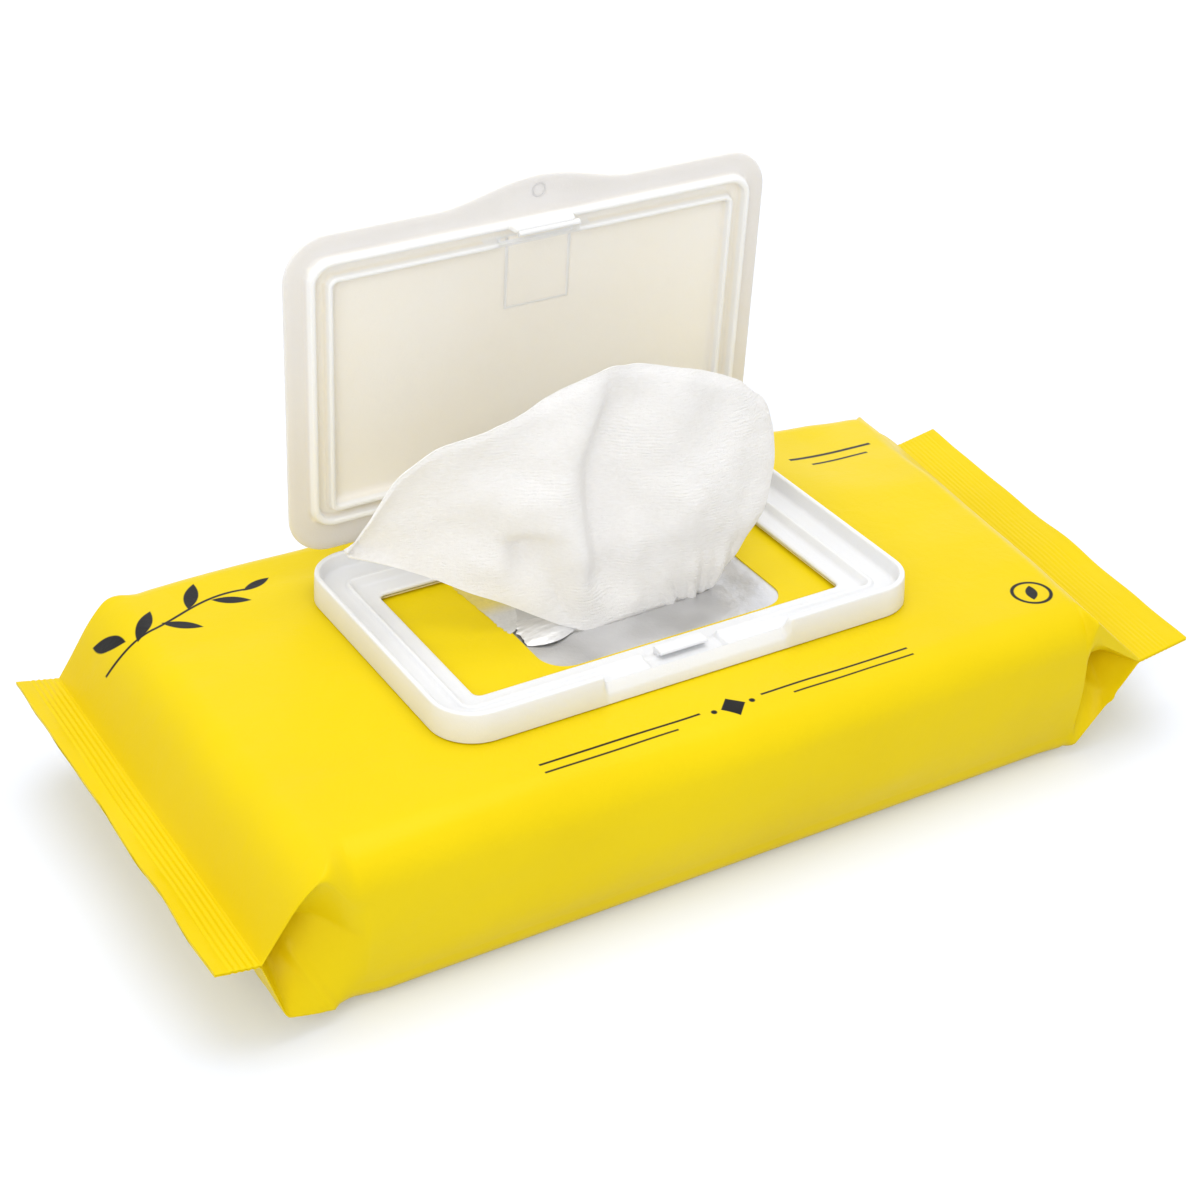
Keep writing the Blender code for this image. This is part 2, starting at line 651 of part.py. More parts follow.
def build_pulled_wipe(material):
    """The top wipe, drawn up through the slot: a fan of nonwoven that leans back to its free corner."""
    crest = [
        (0.0, 1.0, 0.39),
        (0.115, 0.7, 0.70),
        (0.31, 0.3, 0.84),
        (0.505, 0.05, 1.0),
        (0.69, 0.0, 0.98),
        (0.885, 0.0, 0.85),
        (1.0, 0.0, 0.60),
    ]
    hem = [
        (0.0, 1.0, 0.38),
        (0.15, 0.6, 0.24),
        (0.30, 0.0, 0.12),
        (0.425, -0.45, 0.05),
        (0.53, -0.65, 0.0),
        (0.665, -0.60, 0.0),
        (0.79, -0.55, 0.0),
    ]
    crest, hem = (
        [((a - WIPE_LEFT_SHARE) * WIPE_SPREAD, b * WIPE_LEAN, c * WIPE_RISE) for a, b, c in curve]
        for curve in (crest, hem)
    )
    rows, columns = 9, 19
    floor = WIPE_BOTTOM_Z - TOP_Z + WIPE_THICKNESS / 4
    bm = bmesh.new()
    grid = []
    for i in range(columns):
        across = i / (columns - 1)
        low = smooth_curve(hem, across)
        high = smooth_curve(crest, across)
        sunk = ramp(across, 0.52, 0.64)
        low.z += (floor - low.z) * sunk
        line = []
        for j in range(rows):
            up = j / (rows - 1)
            point = low.lerp(high, up)
            arch = 4 * up * (1 - up)
            point.x += WIPE_RIGHT_BOW * arch * ramp(across, 0.6, 1.0)
            point.y -= WIPE_DIP * arch * math.sin(3 * math.pi * across) * ramp(across, 0.0, 0.3)
            line.append(bm.verts.new(point + Vector((FRAME_X, FRAME_Y, TOP_Z))))
        grid.append(line)
    for near, far in zip(grid, grid[1:]):
        for j in range(rows - 1):
            bm.faces.new((near[j], far[j], far[j + 1], near[j + 1]))
    wipe = make_object("pulled_wipe", bm, material, smooth_angle=60)
    thicken = wipe.modifiers.new("thickness", "SOLIDIFY")
    thicken.thickness = WIPE_THICKNESS
    thicken.offset = 0.0


def main():
    for old in list(bpy.data.objects):
        bpy.data.objects.remove(old)
    film = make_material("yellow_film", (0.93, 0.71, 0.02), 0.35)
    foil = make_material("foil", (0.75, 0.75, 0.76), 0.3, metallic=1.0)
    moulding = make_material("white_polypropylene", (0.86, 0.85, 0.83), 0.3)
    glue = make_material("adhesive", (0.80, 0.76, 0.62), 0.5)
    nonwoven = make_material("nonwoven", (0.88, 0.87, 0.85), 0.85)
    build_pouch(film)
    build_foil_ply(foil)
    build_glue_ring(glue)
    build_lid_base(moulding)
    build_lid(moulding)
    build_living_hinge(moulding)
    build_wipes_stack(nonwoven)
    build_pulled_wipe(nonwoven)


main()
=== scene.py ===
import math

import bmesh
import bpy
import numpy as np
from mathutils import Matrix, Vector, noise


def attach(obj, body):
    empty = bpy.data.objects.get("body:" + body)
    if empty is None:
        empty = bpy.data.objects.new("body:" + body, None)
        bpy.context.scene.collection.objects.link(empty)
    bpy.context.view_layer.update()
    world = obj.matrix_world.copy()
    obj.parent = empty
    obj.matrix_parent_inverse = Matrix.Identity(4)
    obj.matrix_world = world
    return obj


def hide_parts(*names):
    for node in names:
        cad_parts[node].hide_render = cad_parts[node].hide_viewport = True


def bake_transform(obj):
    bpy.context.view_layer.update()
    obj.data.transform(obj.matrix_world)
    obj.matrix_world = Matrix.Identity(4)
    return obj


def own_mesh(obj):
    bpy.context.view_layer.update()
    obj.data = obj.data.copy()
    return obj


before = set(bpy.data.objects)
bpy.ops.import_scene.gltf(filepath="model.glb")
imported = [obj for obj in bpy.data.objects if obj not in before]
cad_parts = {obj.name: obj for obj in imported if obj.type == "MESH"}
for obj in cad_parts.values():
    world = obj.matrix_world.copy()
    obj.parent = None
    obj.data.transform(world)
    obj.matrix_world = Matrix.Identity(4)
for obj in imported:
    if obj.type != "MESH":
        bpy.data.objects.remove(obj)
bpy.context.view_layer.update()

# Pouch film: one sheet of printed laminate, folded into a tube, sealed along its back and crimped at
# both ends, where the sides tuck in as gussets. The near top edge rolls over softly above the wipes,
# and the middle of the top panel has a patch of its printed ply peeled off.
MM = 0.001
PACK_WIDTH = 104
PACK_HEIGHT = 35
FIN_HEIGHT = 20
FIN_HALF = 0.4
FIN_RISE = 1.5
FIN_INSET = 2
CORE_TAPER = 3
CORE_BULGE = 1.2
FRONT_ROLL = 9
REAR_ROLL = 5.5
BOTTOM_ROLL = 5
FOLD_ROLL = 0.5
GUSSET_DEPTH = 16
GUSSET_STEEPNESS = 1.7
GUSSET_APEX = 0.62
SEAM_HALF = 6
SEAM_LIFT = 0.7
END_SKEW = 13.1
END_SHIFT = 1.7
BODY_RUN = 22
FIN_RUN = 10
FIN_REAR = 46
FIN_WIDTH = 97
FIN_DIP = 1.3
FIN_WAVE = 0.9
FIRST_STEP = 0.5
BODY_STEP = 2.15
CRIMP_STEPS = 8
SQUARE_END = {
    "seal": 102.7, "fin": 8.2, "flare": 0.0, "shoulder": 10.5, "soft": 7.0, "heel": (3.2, 7.8, 0.37),
    "gusset": 20.0, "onset": 1.0, "lip": 0.0, "folded": (11.0, 19.0),
    "crimps": 5, "pitch": 1.15, "depth": 0.13,
}
SKEWED_END = {
    "seal": 104.7, "fin": 10.0, "flare": 0.20, "shoulder": 15.0, "soft": 1.6, "heel": (1.32, 0.0, 1.0),
    "gusset": 14.5, "onset": 0.5, "lip": 0.3, "folded": (13.0, 15.5),
    "crimps": 8, "pitch": 1.0, "depth": 0.05,
}
FRAME_X = -3.5 * MM
FRAME_Y = 1 * MM
FRAME_LENGTH = 105 * MM
FRAME_WIDTH = 66 * MM
FILM_TOP = PACK_HEIGHT * MM
OPENING_X = FRAME_X + 3.8 * MM
OPENING_Y = FRAME_Y - 1.2 * MM
OPENING_HALF_X = 27.2 * MM
OPENING_HALF_Y = 16.9 * MM
OPENING_RADIUS = 6 * MM
FILM_THICKNESS = 0.35 * MM
INK = (0.012, 0.011, 0.010, 1)
YELLOW = (0.770, 0.580, 0.002, 1)
YELLOW_DEEP = (0.735, 0.545, 0.001, 1)
YELLOW_PAINTED_SHADE = (0.66, 0.47, 0.0005, 1)
WORN = (0.66, 0.60, 0.33, 1)
CORNERS = ((1, -1, -90), (1, 1, 0), (-1, 1, 90), (-1, -1, 180))
SHOWN_RAYS = ("Is Camera Ray", "Is Glossy Ray", "Is Transmission Ray")
frame_collection = bpy.context.scene.collection


def ramp(value, low, high):
    """0 below low, 1 above high, with soft ends."""
    share = min(max((value - low) / (high - low), 0.0), 1.0)
    return share * share * (3 - 2 * share)


def bell(away, width):
    """1 at no distance, falling smoothly to nothing at about twice the width."""
    return math.exp(-(away / width) ** 2)


def waver(*place):
    """Smooth noise, between about -1 and 1, at a place."""
    return noise.noise(Vector(place))


def soft_min(a, b, radius):
    overlap = max(radius - abs(a - b), 0.0) / radius
    return min(a, b) - overlap * overlap * radius / 4


def film_half(end, run, roll):
    """(y, z) in millimetres from the bottom's middle, round one side and its tuck, to the top's middle."""
    steep, start, slope = end["heel"]
    rise = (PACK_HEIGHT - FIN_HEIGHT) * run / end["shoulder"]
    top = max(soft_min(PACK_HEIGHT, FIN_HEIGHT + rise, end["soft"]), FIN_HEIGHT + FIN_HALF)
    fall = soft_min(soft_min(0.0, slope * run - start, 2.0), steep * run - FIN_HEIGHT, 2.0)
    bottom = min(-fall, FIN_HEIGHT - FIN_HALF)
    body = ramp(run, 0, BODY_RUN)
    rolled = ramp(run, *end["folded"])
    lower = min(FOLD_ROLL + (BOTTOM_ROLL - FOLD_ROLL) * rolled, 0.25 * (top - bottom))
    upper = min(FOLD_ROLL + (roll - FOLD_ROLL) * rolled, 0.4 * (top - bottom))
    low = bottom + lower
    high = top - upper
    lip = min(end["lip"] * max(run, 0.0), 0.3 * (high - low)) * (1 - rolled)
    inwards = min(max(run / end["gusset"], 0.0), 1.0)
    tuck = min(GUSSET_DEPTH * (1 - inwards) ** end["onset"], GUSSET_STEEPNESS * (high - lip - low) / 2)
    width = PACK_WIDTH / 2 - FIN_INSET * (1 - body)
    foot = width - CORE_TAPER * body
    lift = SEAM_LIFT * body
    points = [(SEAM_HALF * k / 12, bottom + lift * (0.3 + 0.12 * (k % 2))) for k in range(13)]
    points.append((SEAM_HALF + 0.3, bottom + lift))
    inner = SEAM_HALF + 0.8
    for k in range(20):
        share = k / 20
        points.append((inner + (foot - lower - inner) * share, bottom + lift * (1 - ramp(share, 0.0, 0.35))))
    for k in range(9):
        angle = math.radians(-90 + 90 * k / 8)
        points.append((foot - lower + lower * math.cos(angle), low + lower * math.sin(angle)))
    for k in range(1, 31):
        share = GUSSET_APEX * k / 18 if k < 19 else GUSSET_APEX + (1 - GUSSET_APEX) * (k - 18) / 12
        fold = min(share / GUSSET_APEX, (1 - share) / (1 - GUSSET_APEX))
        bulge = CORE_BULGE * body * 4 * share * (1 - share)
        height = low + (high - lip - low) * share
        across = foot + (width - foot) * share + bulge
        points.append((across - tuck * fold, height))
    points.append((width, high - lip / 2))
    for k in range(13):
        angle = math.radians(90 * k / 12)
        points.append((width - upper + upper * math.cos(angle), high + upper * math.sin(angle)))
    for k in range(25, -1, -1):
        points.append(((width - upper) * k / 26, top))
    return points


def crease(x, z, start, finish, width):
    """1 along a fold between two (x, z) places on a side, falling to 0 beside it."""
    along = Vector(finish) - Vector(start)
    away = Vector((x, z)) - Vector(start)
    share = away.dot(along) / along.length_squared
    beside = abs(away.cross(along)) / along.length
    return max(1 - beside / width, 0.0) * ramp(share, -0.05, 0.1) * (1 - ramp(share, 0.9, 1.05))


def film_place(side, end, run, y, z):
    """The real place, in metres, of a point of the perfect tube: it sags, ripples and is out of square."""
    reach = max(-run, 0.0) / FIN_RUN
    run = max(run, 0.0)
    y -= END_SHIFT * (1 - ramp(run, 0, BODY_RUN))
    length = reach * end["fin"] * (1 + end["flare"] * (FIN_REAR - y) / FIN_WIDTH)
    if side < 0:
        length *= 1 - 0.10 * bell(y - 4, 9) + 0.04 * waver(y * 0.09, 3.0, 0)
    x = side * (end["seal"] - run + length)
    upwards = ramp(z, 14, 30)
    crimped = end["crimps"] * end["pitch"]
    ripple = math.sin(2 * math.pi * length / end["pitch"]) * ramp(length, 0, 0.3)
    ripple *= 1 - ramp(length, crimped - 0.3, crimped)
    z += end["depth"] * ripple * (0.7 + 0.6 * waver(y * 0.12, length * 0.4, side))
    z += reach * (FIN_RISE - FIN_DIP * bell(y - 2, 13) * (side < 0))
    z += reach * FIN_WAVE * waver(y * 0.055, 7.0 + side, 0)
    if side > 0:
        x -= END_SKEW * ramp(end["seal"] - run, 35, 86) * (50 - y) / 100
        x += 2.6 * ramp(y, 20, 44) * ramp(x, 66, 86) * ramp(run, 2, 12)
    framed = (1 - ramp(abs(x - FRAME_X / MM), 54, 62)) * (1 - ramp(abs(y - FRAME_Y / MM), 34, 39)) * upwards
    free = (1 - framed) * ramp(run, 1, 14)
    swell = waver(x * 0.016 + 3.1, y * 0.034, z * 0.04 + 7.7) * 0.8
    fine = waver(x * 0.07, y * 0.11, z * 0.14) * 0.22
    pleats = math.sin(y * 0.62 + 1.7 * math.sin(y * 0.13)) + 0.6 * math.sin(y * 1.37 + 0.8)
    gather = 0.16 * pleats * math.exp(-run / 8) * ramp(run, 0, 3) * (2 * upwards - 1)
    sag = 3.0 * ramp(y, 8, 46) * ramp(x, 46, 76) * ramp(run, 1, 12) * upwards
    sag += 1.1 * ramp(y, 34, 50) * ramp(x, 76, 88) * ramp(run, 1, 9) * upwards
    z += (swell + fine) * free * upwards + gather - sag
    face = ramp(abs(y), 42, 50) * ramp(z, 3, 12)
    outwards = math.copysign(1.0, y)
    y += outwards * (1.2 * swell + fine) * face * free
    if side < 0:
        y += outwards * 0.7 * crease(x, z, (-95.5, 17), (-88.3, 2.2), 1.4) * ramp(abs(y), 30, 38)
    else:
        y += outwards * 0.6 * crease(x, z, (81.0, 15.5), (92.3, 7.5), 1.5) * ramp(abs(y), 26, 34)
    return x * MM, y * MM, z * MM


film_rings = []
for side, end in ((-1, SQUARE_END), (1, SKEWED_END)):
    crimped = FIN_RUN * end["crimps"] * end["pitch"] / end["fin"]
    count = CRIMP_STEPS * end["crimps"]
    outs = [crimped * (k + 0.5) / count for k in range(count)] + [(crimped + FIN_RUN) / 2, FIN_RUN]
    runs = [-out for out in reversed(outs)] + [0.3 + FIRST_STEP * k for k in range(48)]
    last = runs[-1]
    steps = int((end["seal"] - last - 1) / BODY_STEP)
    runs += [last + BODY_STEP * k for k in range(1, steps + 1)]
    rings = []
    for run in runs:
        front = film_half(end, run, FRONT_ROLL)
        rear = film_half(end, run, REAR_ROLL)
        ring = [(-y, z) for y, z in reversed(front)] + rear[1:-1]
        rings.append([film_place(side, end, run, y, z) for y, z in ring])
    film_rings += rings if side < 0 else rings[::-1]


def span(made, rows, closed=True):
    """Faces between rows of vertices, each row running round or across."""
    count = len(rows[0])
    for near, far in zip(rows, rows[1:]):
        for k in range(count if closed else count - 1):
            after = (k + 1) % count
            made.faces.new((near[k], far[k], far[after], near[after]))


def linked(name, made):
    """The object that a finished bmesh becomes."""
    mesh = bpy.data.meshes.new(name)
    made.to_mesh(mesh)
    made.free()
    piece = bpy.data.objects.new(name, mesh)
    frame_collection.objects.link(piece)
    return piece


def settled(piece):
    """The piece's plain mesh, once its modifiers are applied."""
    plain = bpy.data.meshes.new_from_object(piece.evaluated_get(bpy.context.evaluated_depsgraph_get()))
    piece.modifiers.clear()
    piece.data = plain
    return plain


def soften(mesh, degrees):
    mesh.shade_smooth()
    mesh.set_sharp_from_angle(angle=math.radians(degrees))


film = bmesh.new()
film_rows = [[film.verts.new(point) for point in ring] for ring in film_rings]
span(film, film_rows)
film.faces.new(reversed(film_rows[0]))
film.faces.new(film_rows[-1])
bmesh.ops.recalc_face_normals(film, faces=film.faces)
pouch_film = linked("pouch_film", film)


def rounded_outline(x, y, half_x, half_y, radius, steps):
    """Points anticlockwise round a rounded rectangle."""
    points = []
    for sign_x, sign_y, start in CORNERS:
        for k in range(steps + 1):
            angle = math.radians(start + 90 * k / steps)
            points.append((
                x + sign_x * (half_x - radius) + radius * math.cos(angle),
                y + sign_y * (half_y - radius) + radius * math.sin(angle),
            ))
    return points


peel = bmesh.new()
peel_floor = FILM_TOP - FILM_THICKNESS
peel_edge = []
for x, y in rounded_outline(OPENING_X, OPENING_Y, OPENING_HALF_X, OPENING_HALF_Y, OPENING_RADIUS, 16):
    torn = ramp(OPENING_X - x, 24 * MM, 27 * MM) * ramp(y, -6 * MM, 2 * MM)
    wander = waver(x * 900, y * 900, 0.5) * 0.6 * MM * torn
    peel_edge.append((x + wander, y + 0.08 * MM * waver(x * 300, y * 300, 4)))
low_edge = [peel.verts.new((x, y, peel_floor)) for x, y in peel_edge]
high_edge = [peel.verts.new((x, y, FILM_TOP + 2 * MM)) for x, y in peel_edge]
span(peel, [high_edge, low_edge])
peel.faces.new(reversed(low_edge))
peel.faces.new(high_edge)
peel_tool = linked("peel", peel)
cut = pouch_film.modifiers.new("peel", "BOOLEAN")
cut.operation = "DIFFERENCE"
cut.solver = "EXACT"
cut.object = peel_tool
cut_mesh = settled(pouch_film)
bpy.data.objects.remove(peel_tool)
opened = bmesh.new()
opened.from_mesh(cut_mesh)
floor_faces = [
    face for face in opened.faces
    if max(abs(v.co.z - peel_floor) for v in face.verts) < 0.02 * MM
    and abs(face.calc_center_median().x - OPENING_X) < OPENING_HALF_X + 1 * MM
    and abs(face.calc_center_median().y - OPENING_Y) < OPENING_HALF_Y + 1 * MM
]
bmesh.ops.delete(opened, geom=floor_faces, context="FACES")
opened.to_mesh(cut_mesh)
opened.free()
soften(cut_mesh, 42)


class Signal:
    """A node's output that Python's operators combine, each adding its Math node."""

    def __init__(self, recipe, socket):
        self.recipe = recipe
        self.socket = socket

    def maths(self, operation, *others):
        values = dict(enumerate((self, *others)))
        return self.recipe.node("ShaderNodeMath", {"operation": operation}, values)

    def __add__(self, other):
        return self.maths("ADD", other)

    def __mul__(self, other):
        return self.maths("MULTIPLY", other)

    __radd__ = __add__
    __rmul__ = __mul__

    def __sub__(self, other):
        return self.maths("SUBTRACT", other)

    def __rsub__(self, other):
        return self.recipe.node("ShaderNodeMath", {"operation": "SUBTRACT"}, {0: other, 1: self})

    def __truediv__(self, other):
        return self.maths("DIVIDE", other)

    def size(self):
        return self.maths("ABSOLUTE")

    def power(self, exponent):
        return self.maths("POWER", exponent)

    def sine(self):
        return self.maths("SINE")

    def most(self, other):
        return self.maths("MAXIMUM", other)

    def rise(self, low, high):
        """0 at low, 1 at high, with soft ends."""
        values = {"Value": self, "From Min": low, "From Max": high}
        return self.recipe.node("ShaderNodeMapRange", {"interpolation_type": "SMOOTHSTEP"}, values)


class Recipe:
    """A material or a world being made, with one method that adds any node."""

    def __init__(self, name, shelf=bpy.data.materials, shader="Principled BSDF"):
        self.owner = shelf.new(name)
        self.owner.use_nodes = True
        self.tree = self.owner.node_tree
        self.shader = self.tree.nodes[shader]

    def node(self, kind, settings=None, values=None, output=0):
        made = self.tree.nodes.new(kind)
        for key, value in (settings or {}).items():
            setattr(made, key, value)
        for key, value in (values or {}).items():
            self.feed(made.inputs[key], value)
        return Signal(self, made.outputs[output])

    def feed(self, socket, value):
        if isinstance(value, Signal):
            self.tree.links.new(value.socket, socket)
        else:
            socket.default_value = value

    def place(self):
        """Where a point is on the object, in millimetres."""
        here = self.node("ShaderNodeTexCoord", output="Object")
        return self.node("ShaderNodeVectorMath", {"operation": "SCALE"}, {0: here, "Scale": 1 / MM})

    def axes(self, place):
        split = self.node("ShaderNodeSeparateXYZ", None, {0: place})
        return [Signal(self, output) for output in split.socket.node.outputs]

    def drawn_out(self, place, scale):
        return self.node("ShaderNodeMapping", None, {"Vector": place, "Scale": scale})

    def grain(self, place, scale, detail, roughness, distortion=0.0):
        values = {"Vector": place, "Scale": scale, "Detail": detail, "Roughness": roughness}
        return self.node("ShaderNodeTexNoise", None, {**values, "Distortion": distortion})

    def blend(self, share, a, b):
        return self.node("ShaderNodeMix", {"data_type": "RGBA"}, {0: share, 6: a, 7: b}, output=2)

    def bump(self, height, distance, strength):
        values = {"Height": height, "Distance": distance, "Strength": strength}
        return self.node("ShaderNodeBump", None, values)

    def seen(self):
        """1 for the rays that show a thing to the eye, 0 for those that only light it."""
        return sum(self.node("ShaderNodeLightPath", output=label) for label in SHOWN_RAYS)

    def finish(self, **sockets):
        for name, value in sockets.items():
            self.feed(self.shader.inputs[name.replace("_", " ")], value)

    def dress(self, piece):
        piece.data.materials.clear()
        piece.data.materials.append(self.owner)


printed = Recipe("printed_yellow_film")
place = printed.place()
x, y, z = printed.axes(place)
EDGE = 0.14
SPRIG_X = -81.0
SPRIG_HALF = 16.5
STEM_HALF = 0.35
SPRIG_LEAVES = (
    (-94.5, 38.6, 118, 9.0, 2.8), (-88.0, 36.0, 55, 10.0, 3.0), (-81.5, 32.4, -38, 8.5, 2.6),
    (-76.0, 41.6, 62, 9.5, 2.9), (-69.5, 36.6, -30, 8.0, 2.5), (-62.8, 39.9, 20, 7.0, 2.2),
)
RULES = (
    (-27.0, -42.4, 34, 0.55), (20.5, -42.4, 34, 0.55), (-30.0, -44.6, 28, 0.4), (23.5, -44.6, 28, 0.4),
    (73.5, 34.0, 22, 1.0), (73.5, 30.2, 15, 0.8),
)
DIAMOND = (-3.2, -43.2)
DIAMOND_HALF = 2.7
DOT_X = (-7.4, 1.0)
DOT_RADIUS = 0.6
BADGE = (71.5, -38.5)
INK_LOWEST = 24.0


def ink_leaf(middle_x, middle_y, degrees, length, width):
    """A pointed leaf lying on the top panel."""
    cosine = math.cos(math.radians(degrees))
    sine = math.sin(math.radians(degrees))
    along = (x - middle_x) * cosine + (y - middle_y) * sine
    across = (y - middle_y) * cosine - (x - middle_x) * sine
    half = 1 - (along / (length / 2)).power(2)
    return (half * (width / 2) - across.size()).rise(-EDGE, EDGE)


def ink_rule(middle_x, middle_y, length, width):
    across = (width / 2 - (y - middle_y).size()).rise(-EDGE, EDGE)
    return across * (length / 2 - (x - middle_x).size()).rise(-EDGE, EDGE)


def ink_ring(middle_x, middle_y, radius, width):
    """A ring, or a dot where the radius is 0."""
    away = ((x - middle_x).power(2) + (y - middle_y).power(2)).power(0.5)
    return (width / 2 - (away - radius).size()).rise(-EDGE, EDGE)


stem = y - 36.0 - ((x - SPRIG_X) * 0.16).sine() * 2.4 - (x - SPRIG_X) * 0.10
ink = (STEM_HALF - stem.size()).rise(-EDGE, EDGE) * (SPRIG_HALF - (x - SPRIG_X).size()).rise(-EDGE, EDGE)
diamond = DIAMOND_HALF - (x - DIAMOND[0]).size() - (y - DIAMOND[1]).size()
marks = [diamond.rise(-EDGE, EDGE), ink_ring(*BADGE, 3.9, 0.75), ink_leaf(*BADGE, 62, 5.4, 2.4)]
marks += [ink_leaf(*leaf) for leaf in SPRIG_LEAVES] + [ink_rule(*rule) for rule in RULES]
marks += [ink_ring(dot, DIAMOND[1], 0, 2 * DOT_RADIUS) for dot in DOT_X]
for mark in marks:
    ink = ink.most(mark)
ink = ink * (z - INK_LOWEST).rise(0.0, 1.0)

worn_line = 89.4 - (42.0 - y) * 0.131
worn = (1 - (x - worn_line).size() / 1.7).most(0.0) * (z - 24.0).rise(0.0, 6.0)
worn = worn * printed.grain(place, 0.11, 4.0, 0.6).rise(0.34, 0.62)
worn = worn * (y + 44.0).rise(0.0, 20.0) * (42.0 - y).rise(0.0, 18.0)
tone = printed.grain(place, 0.018, 3.0, 0.5)
colour = printed.blend(tone.rise(0.35, 0.75), YELLOW, YELLOW_DEEP)
# Painted shade: the film's yellow is deepened in a band on the left end's slope beside the fin, where the
# sloping film lies in shade.
painted_slope_shade = (x + 103.5).rise(0.0, 3.5) * (-90 - x).rise(0.0, 9.0) * (z - 19.0).rise(0.0, 1.5)
colour = printed.blend(painted_slope_shade * 0.55, colour, YELLOW_PAINTED_SHADE)
colour = printed.blend(worn * 0.6, colour, WORN)
colour = printed.blend(ink, colour, INK)
streaks = printed.grain(place, 0.55, 3.0, 0.6)
creased = printed.grain(place, 0.12, 5.0, 0.62, 0.6)
relief = printed.bump(streaks * 0.25 + creased, 0.00035, 0.45)
printed.finish(
    Base_Color=colour,
    Roughness=0.34 + tone * 0.10 + worn * 0.25,
    Normal=relief,
    Specular_IOR_Level=0.10,
    Coat_Weight=0.02,
    Coat_Roughness=0.22,
)
printed.dress(pouch_film)
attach(pouch_film, "pack")
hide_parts("pouch")

# Foil ply: the silver inner layer that the peeled patch leaves showing, slit where the wipes come out.
# It is a few hundredths of a millimetre of metallised film, stuck to the back of the printed ply.
FOIL_TOP = FILM_TOP - FILM_THICKNESS - 0.02 * MM
FOIL_LAP = 4.5 * MM
FOIL_DROP = 0.35 * MM
FOIL_PLY = 0.08 * MM
SLOT_X = FRAME_X - 0.5 * MM
SLOT_Y = FRAME_Y - 4.9 * MM
SLOT_HALF_X = 22.2 * MM
SLOT_HALF_Y = 2.6 * MM
FOIL_SILVER = (0.50, 0.50, 0.505, 1)
FOIL_BRIGHT = (0.70, 0.70, 0.71, 1)


def sheet_between(name, rows, closed=True):
    """A surface through rows of points, each row running round or across."""
    made = bmesh.new()
    span(made, [[made.verts.new(point) for point in row] for row in rows], closed)
    piece = linked(name, made)
    piece.data.shade_smooth()
    return piece


def thicken(piece, thickness, offset=-1.0):
    solid = piece.modifiers.new("thickness", "SOLIDIFY")
    solid.thickness = thickness
    solid.offset = offset
    soften(settled(piece), 50)


def rounded(value, power):
    return math.copysign(abs(value) ** power, value)


foil_rows = []
for k in range(15):
    share = k / 14
    row = []
    for step in range(120):
        angle = 2 * math.pi * step / 120
        across, along = math.cos(angle), math.sin(angle)
        out_x = OPENING_X + (OPENING_HALF_X + FOIL_LAP) * rounded(across, 0.3)
        out_y = OPENING_Y + (OPENING_HALF_Y + FOIL_LAP) * rounded(along, 0.3)
        in_x = SLOT_X + SLOT_HALF_X * rounded(across, 1.05)
        in_y = SLOT_Y + SLOT_HALF_Y * rounded(along, 1.25)
        near = share ** 0.7
        px = out_x + (in_x - out_x) * near
        py = out_y + (in_y - out_y) * near
        inside = ramp(share, 0.25, 0.6)
        wave = waver(px * 90, py * 90, 2.0) * inside
        wave += ramp(share, 0.72, 1.0) * (0.5 + 0.5 * math.sin(5 * angle + 0.6))
        pressed = 0.15 * MM * ramp(share, 0.5, 1.0)
        row.append((px, py, FOIL_TOP + FOIL_DROP * (0.6 * wave - inside) - pressed))
    foil_rows.append(row)
foil_window = sheet_between("foil_window", foil_rows)
thicken(foil_window, FOIL_PLY)
silvered = Recipe("satin_foil")
place = silvered.place()
brushed = silvered.grain(place, 0.35, 4.0, 0.55)
cloud = silvered.grain(place, 0.06, 2.0, 0.5)
silvered.finish(
    Base_Color=silvered.blend(cloud.rise(0.3, 0.7), FOIL_SILVER, FOIL_BRIGHT),
    Roughness=0.30 + cloud * 0.16,
    Normal=silvered.bump(brushed + cloud * 2, 0.0004, 0.5),
    Metallic=0.85,
)
silvered.dress(foil_window)
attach(foil_window, "pack")
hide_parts("foil_ply")

# Foil curl: the tongue of foil that the slit's left end keeps where the slit was torn open. It is the
# foil ply itself, stretched and curled upwards, with white glint streaks painted into its colour.
CURL_PLY = 0.09 * MM
FOIL_STRETCHED = (0.52, 0.52, 0.53, 1)
FOIL_GLINT = (0.92, 0.92, 0.92, 1)
curl_rows = []
for k in range(25):
    across = k / 24
    row = []
    for step in range(33):
        along = step / 32
        bow = 3.9 * math.sin(math.pi * (0.12 + 0.88 * along) ** 0.8)
        front = Vector((-22.6 + 13.6 * along, -4.6 - bow, 0.0))
        back = Vector((-22.2 + 13.2 * along, 1.2 - 6.6 * along ** 1.5, 0.0))
        point = front.lerp(back, across)
        width = math.sin(math.pi * min(along * 0.9 + 0.1, 1.0)) ** 0.7
        ragged = 0.9 * waver(across * 7, 1.0, 3.0)
        ragged += 0.25 * waver(across * 29, 2.0, 3.0)
        point.x += ragged * (1 - ramp(along, 0.0, 0.14))
        height = 1.9 * width * math.sin(math.pi * (0.06 + 0.70 * across)) ** 0.7
        height += 0.14 * math.sin(5 * along + 4 * across) * across
        point.z = -0.75 + height + 0.10 * noise.noise(point * 0.9)
        row.append((point.x * MM + FRAME_X, point.y * MM + FRAME_Y, (point.z - 0.2) * MM + FILM_TOP))
    curl_rows.append(row)
foil_curl = sheet_between("foil_curl", curl_rows, closed=False)
thicken(foil_curl, CURL_PLY)
bright = Recipe("stretched_foil")
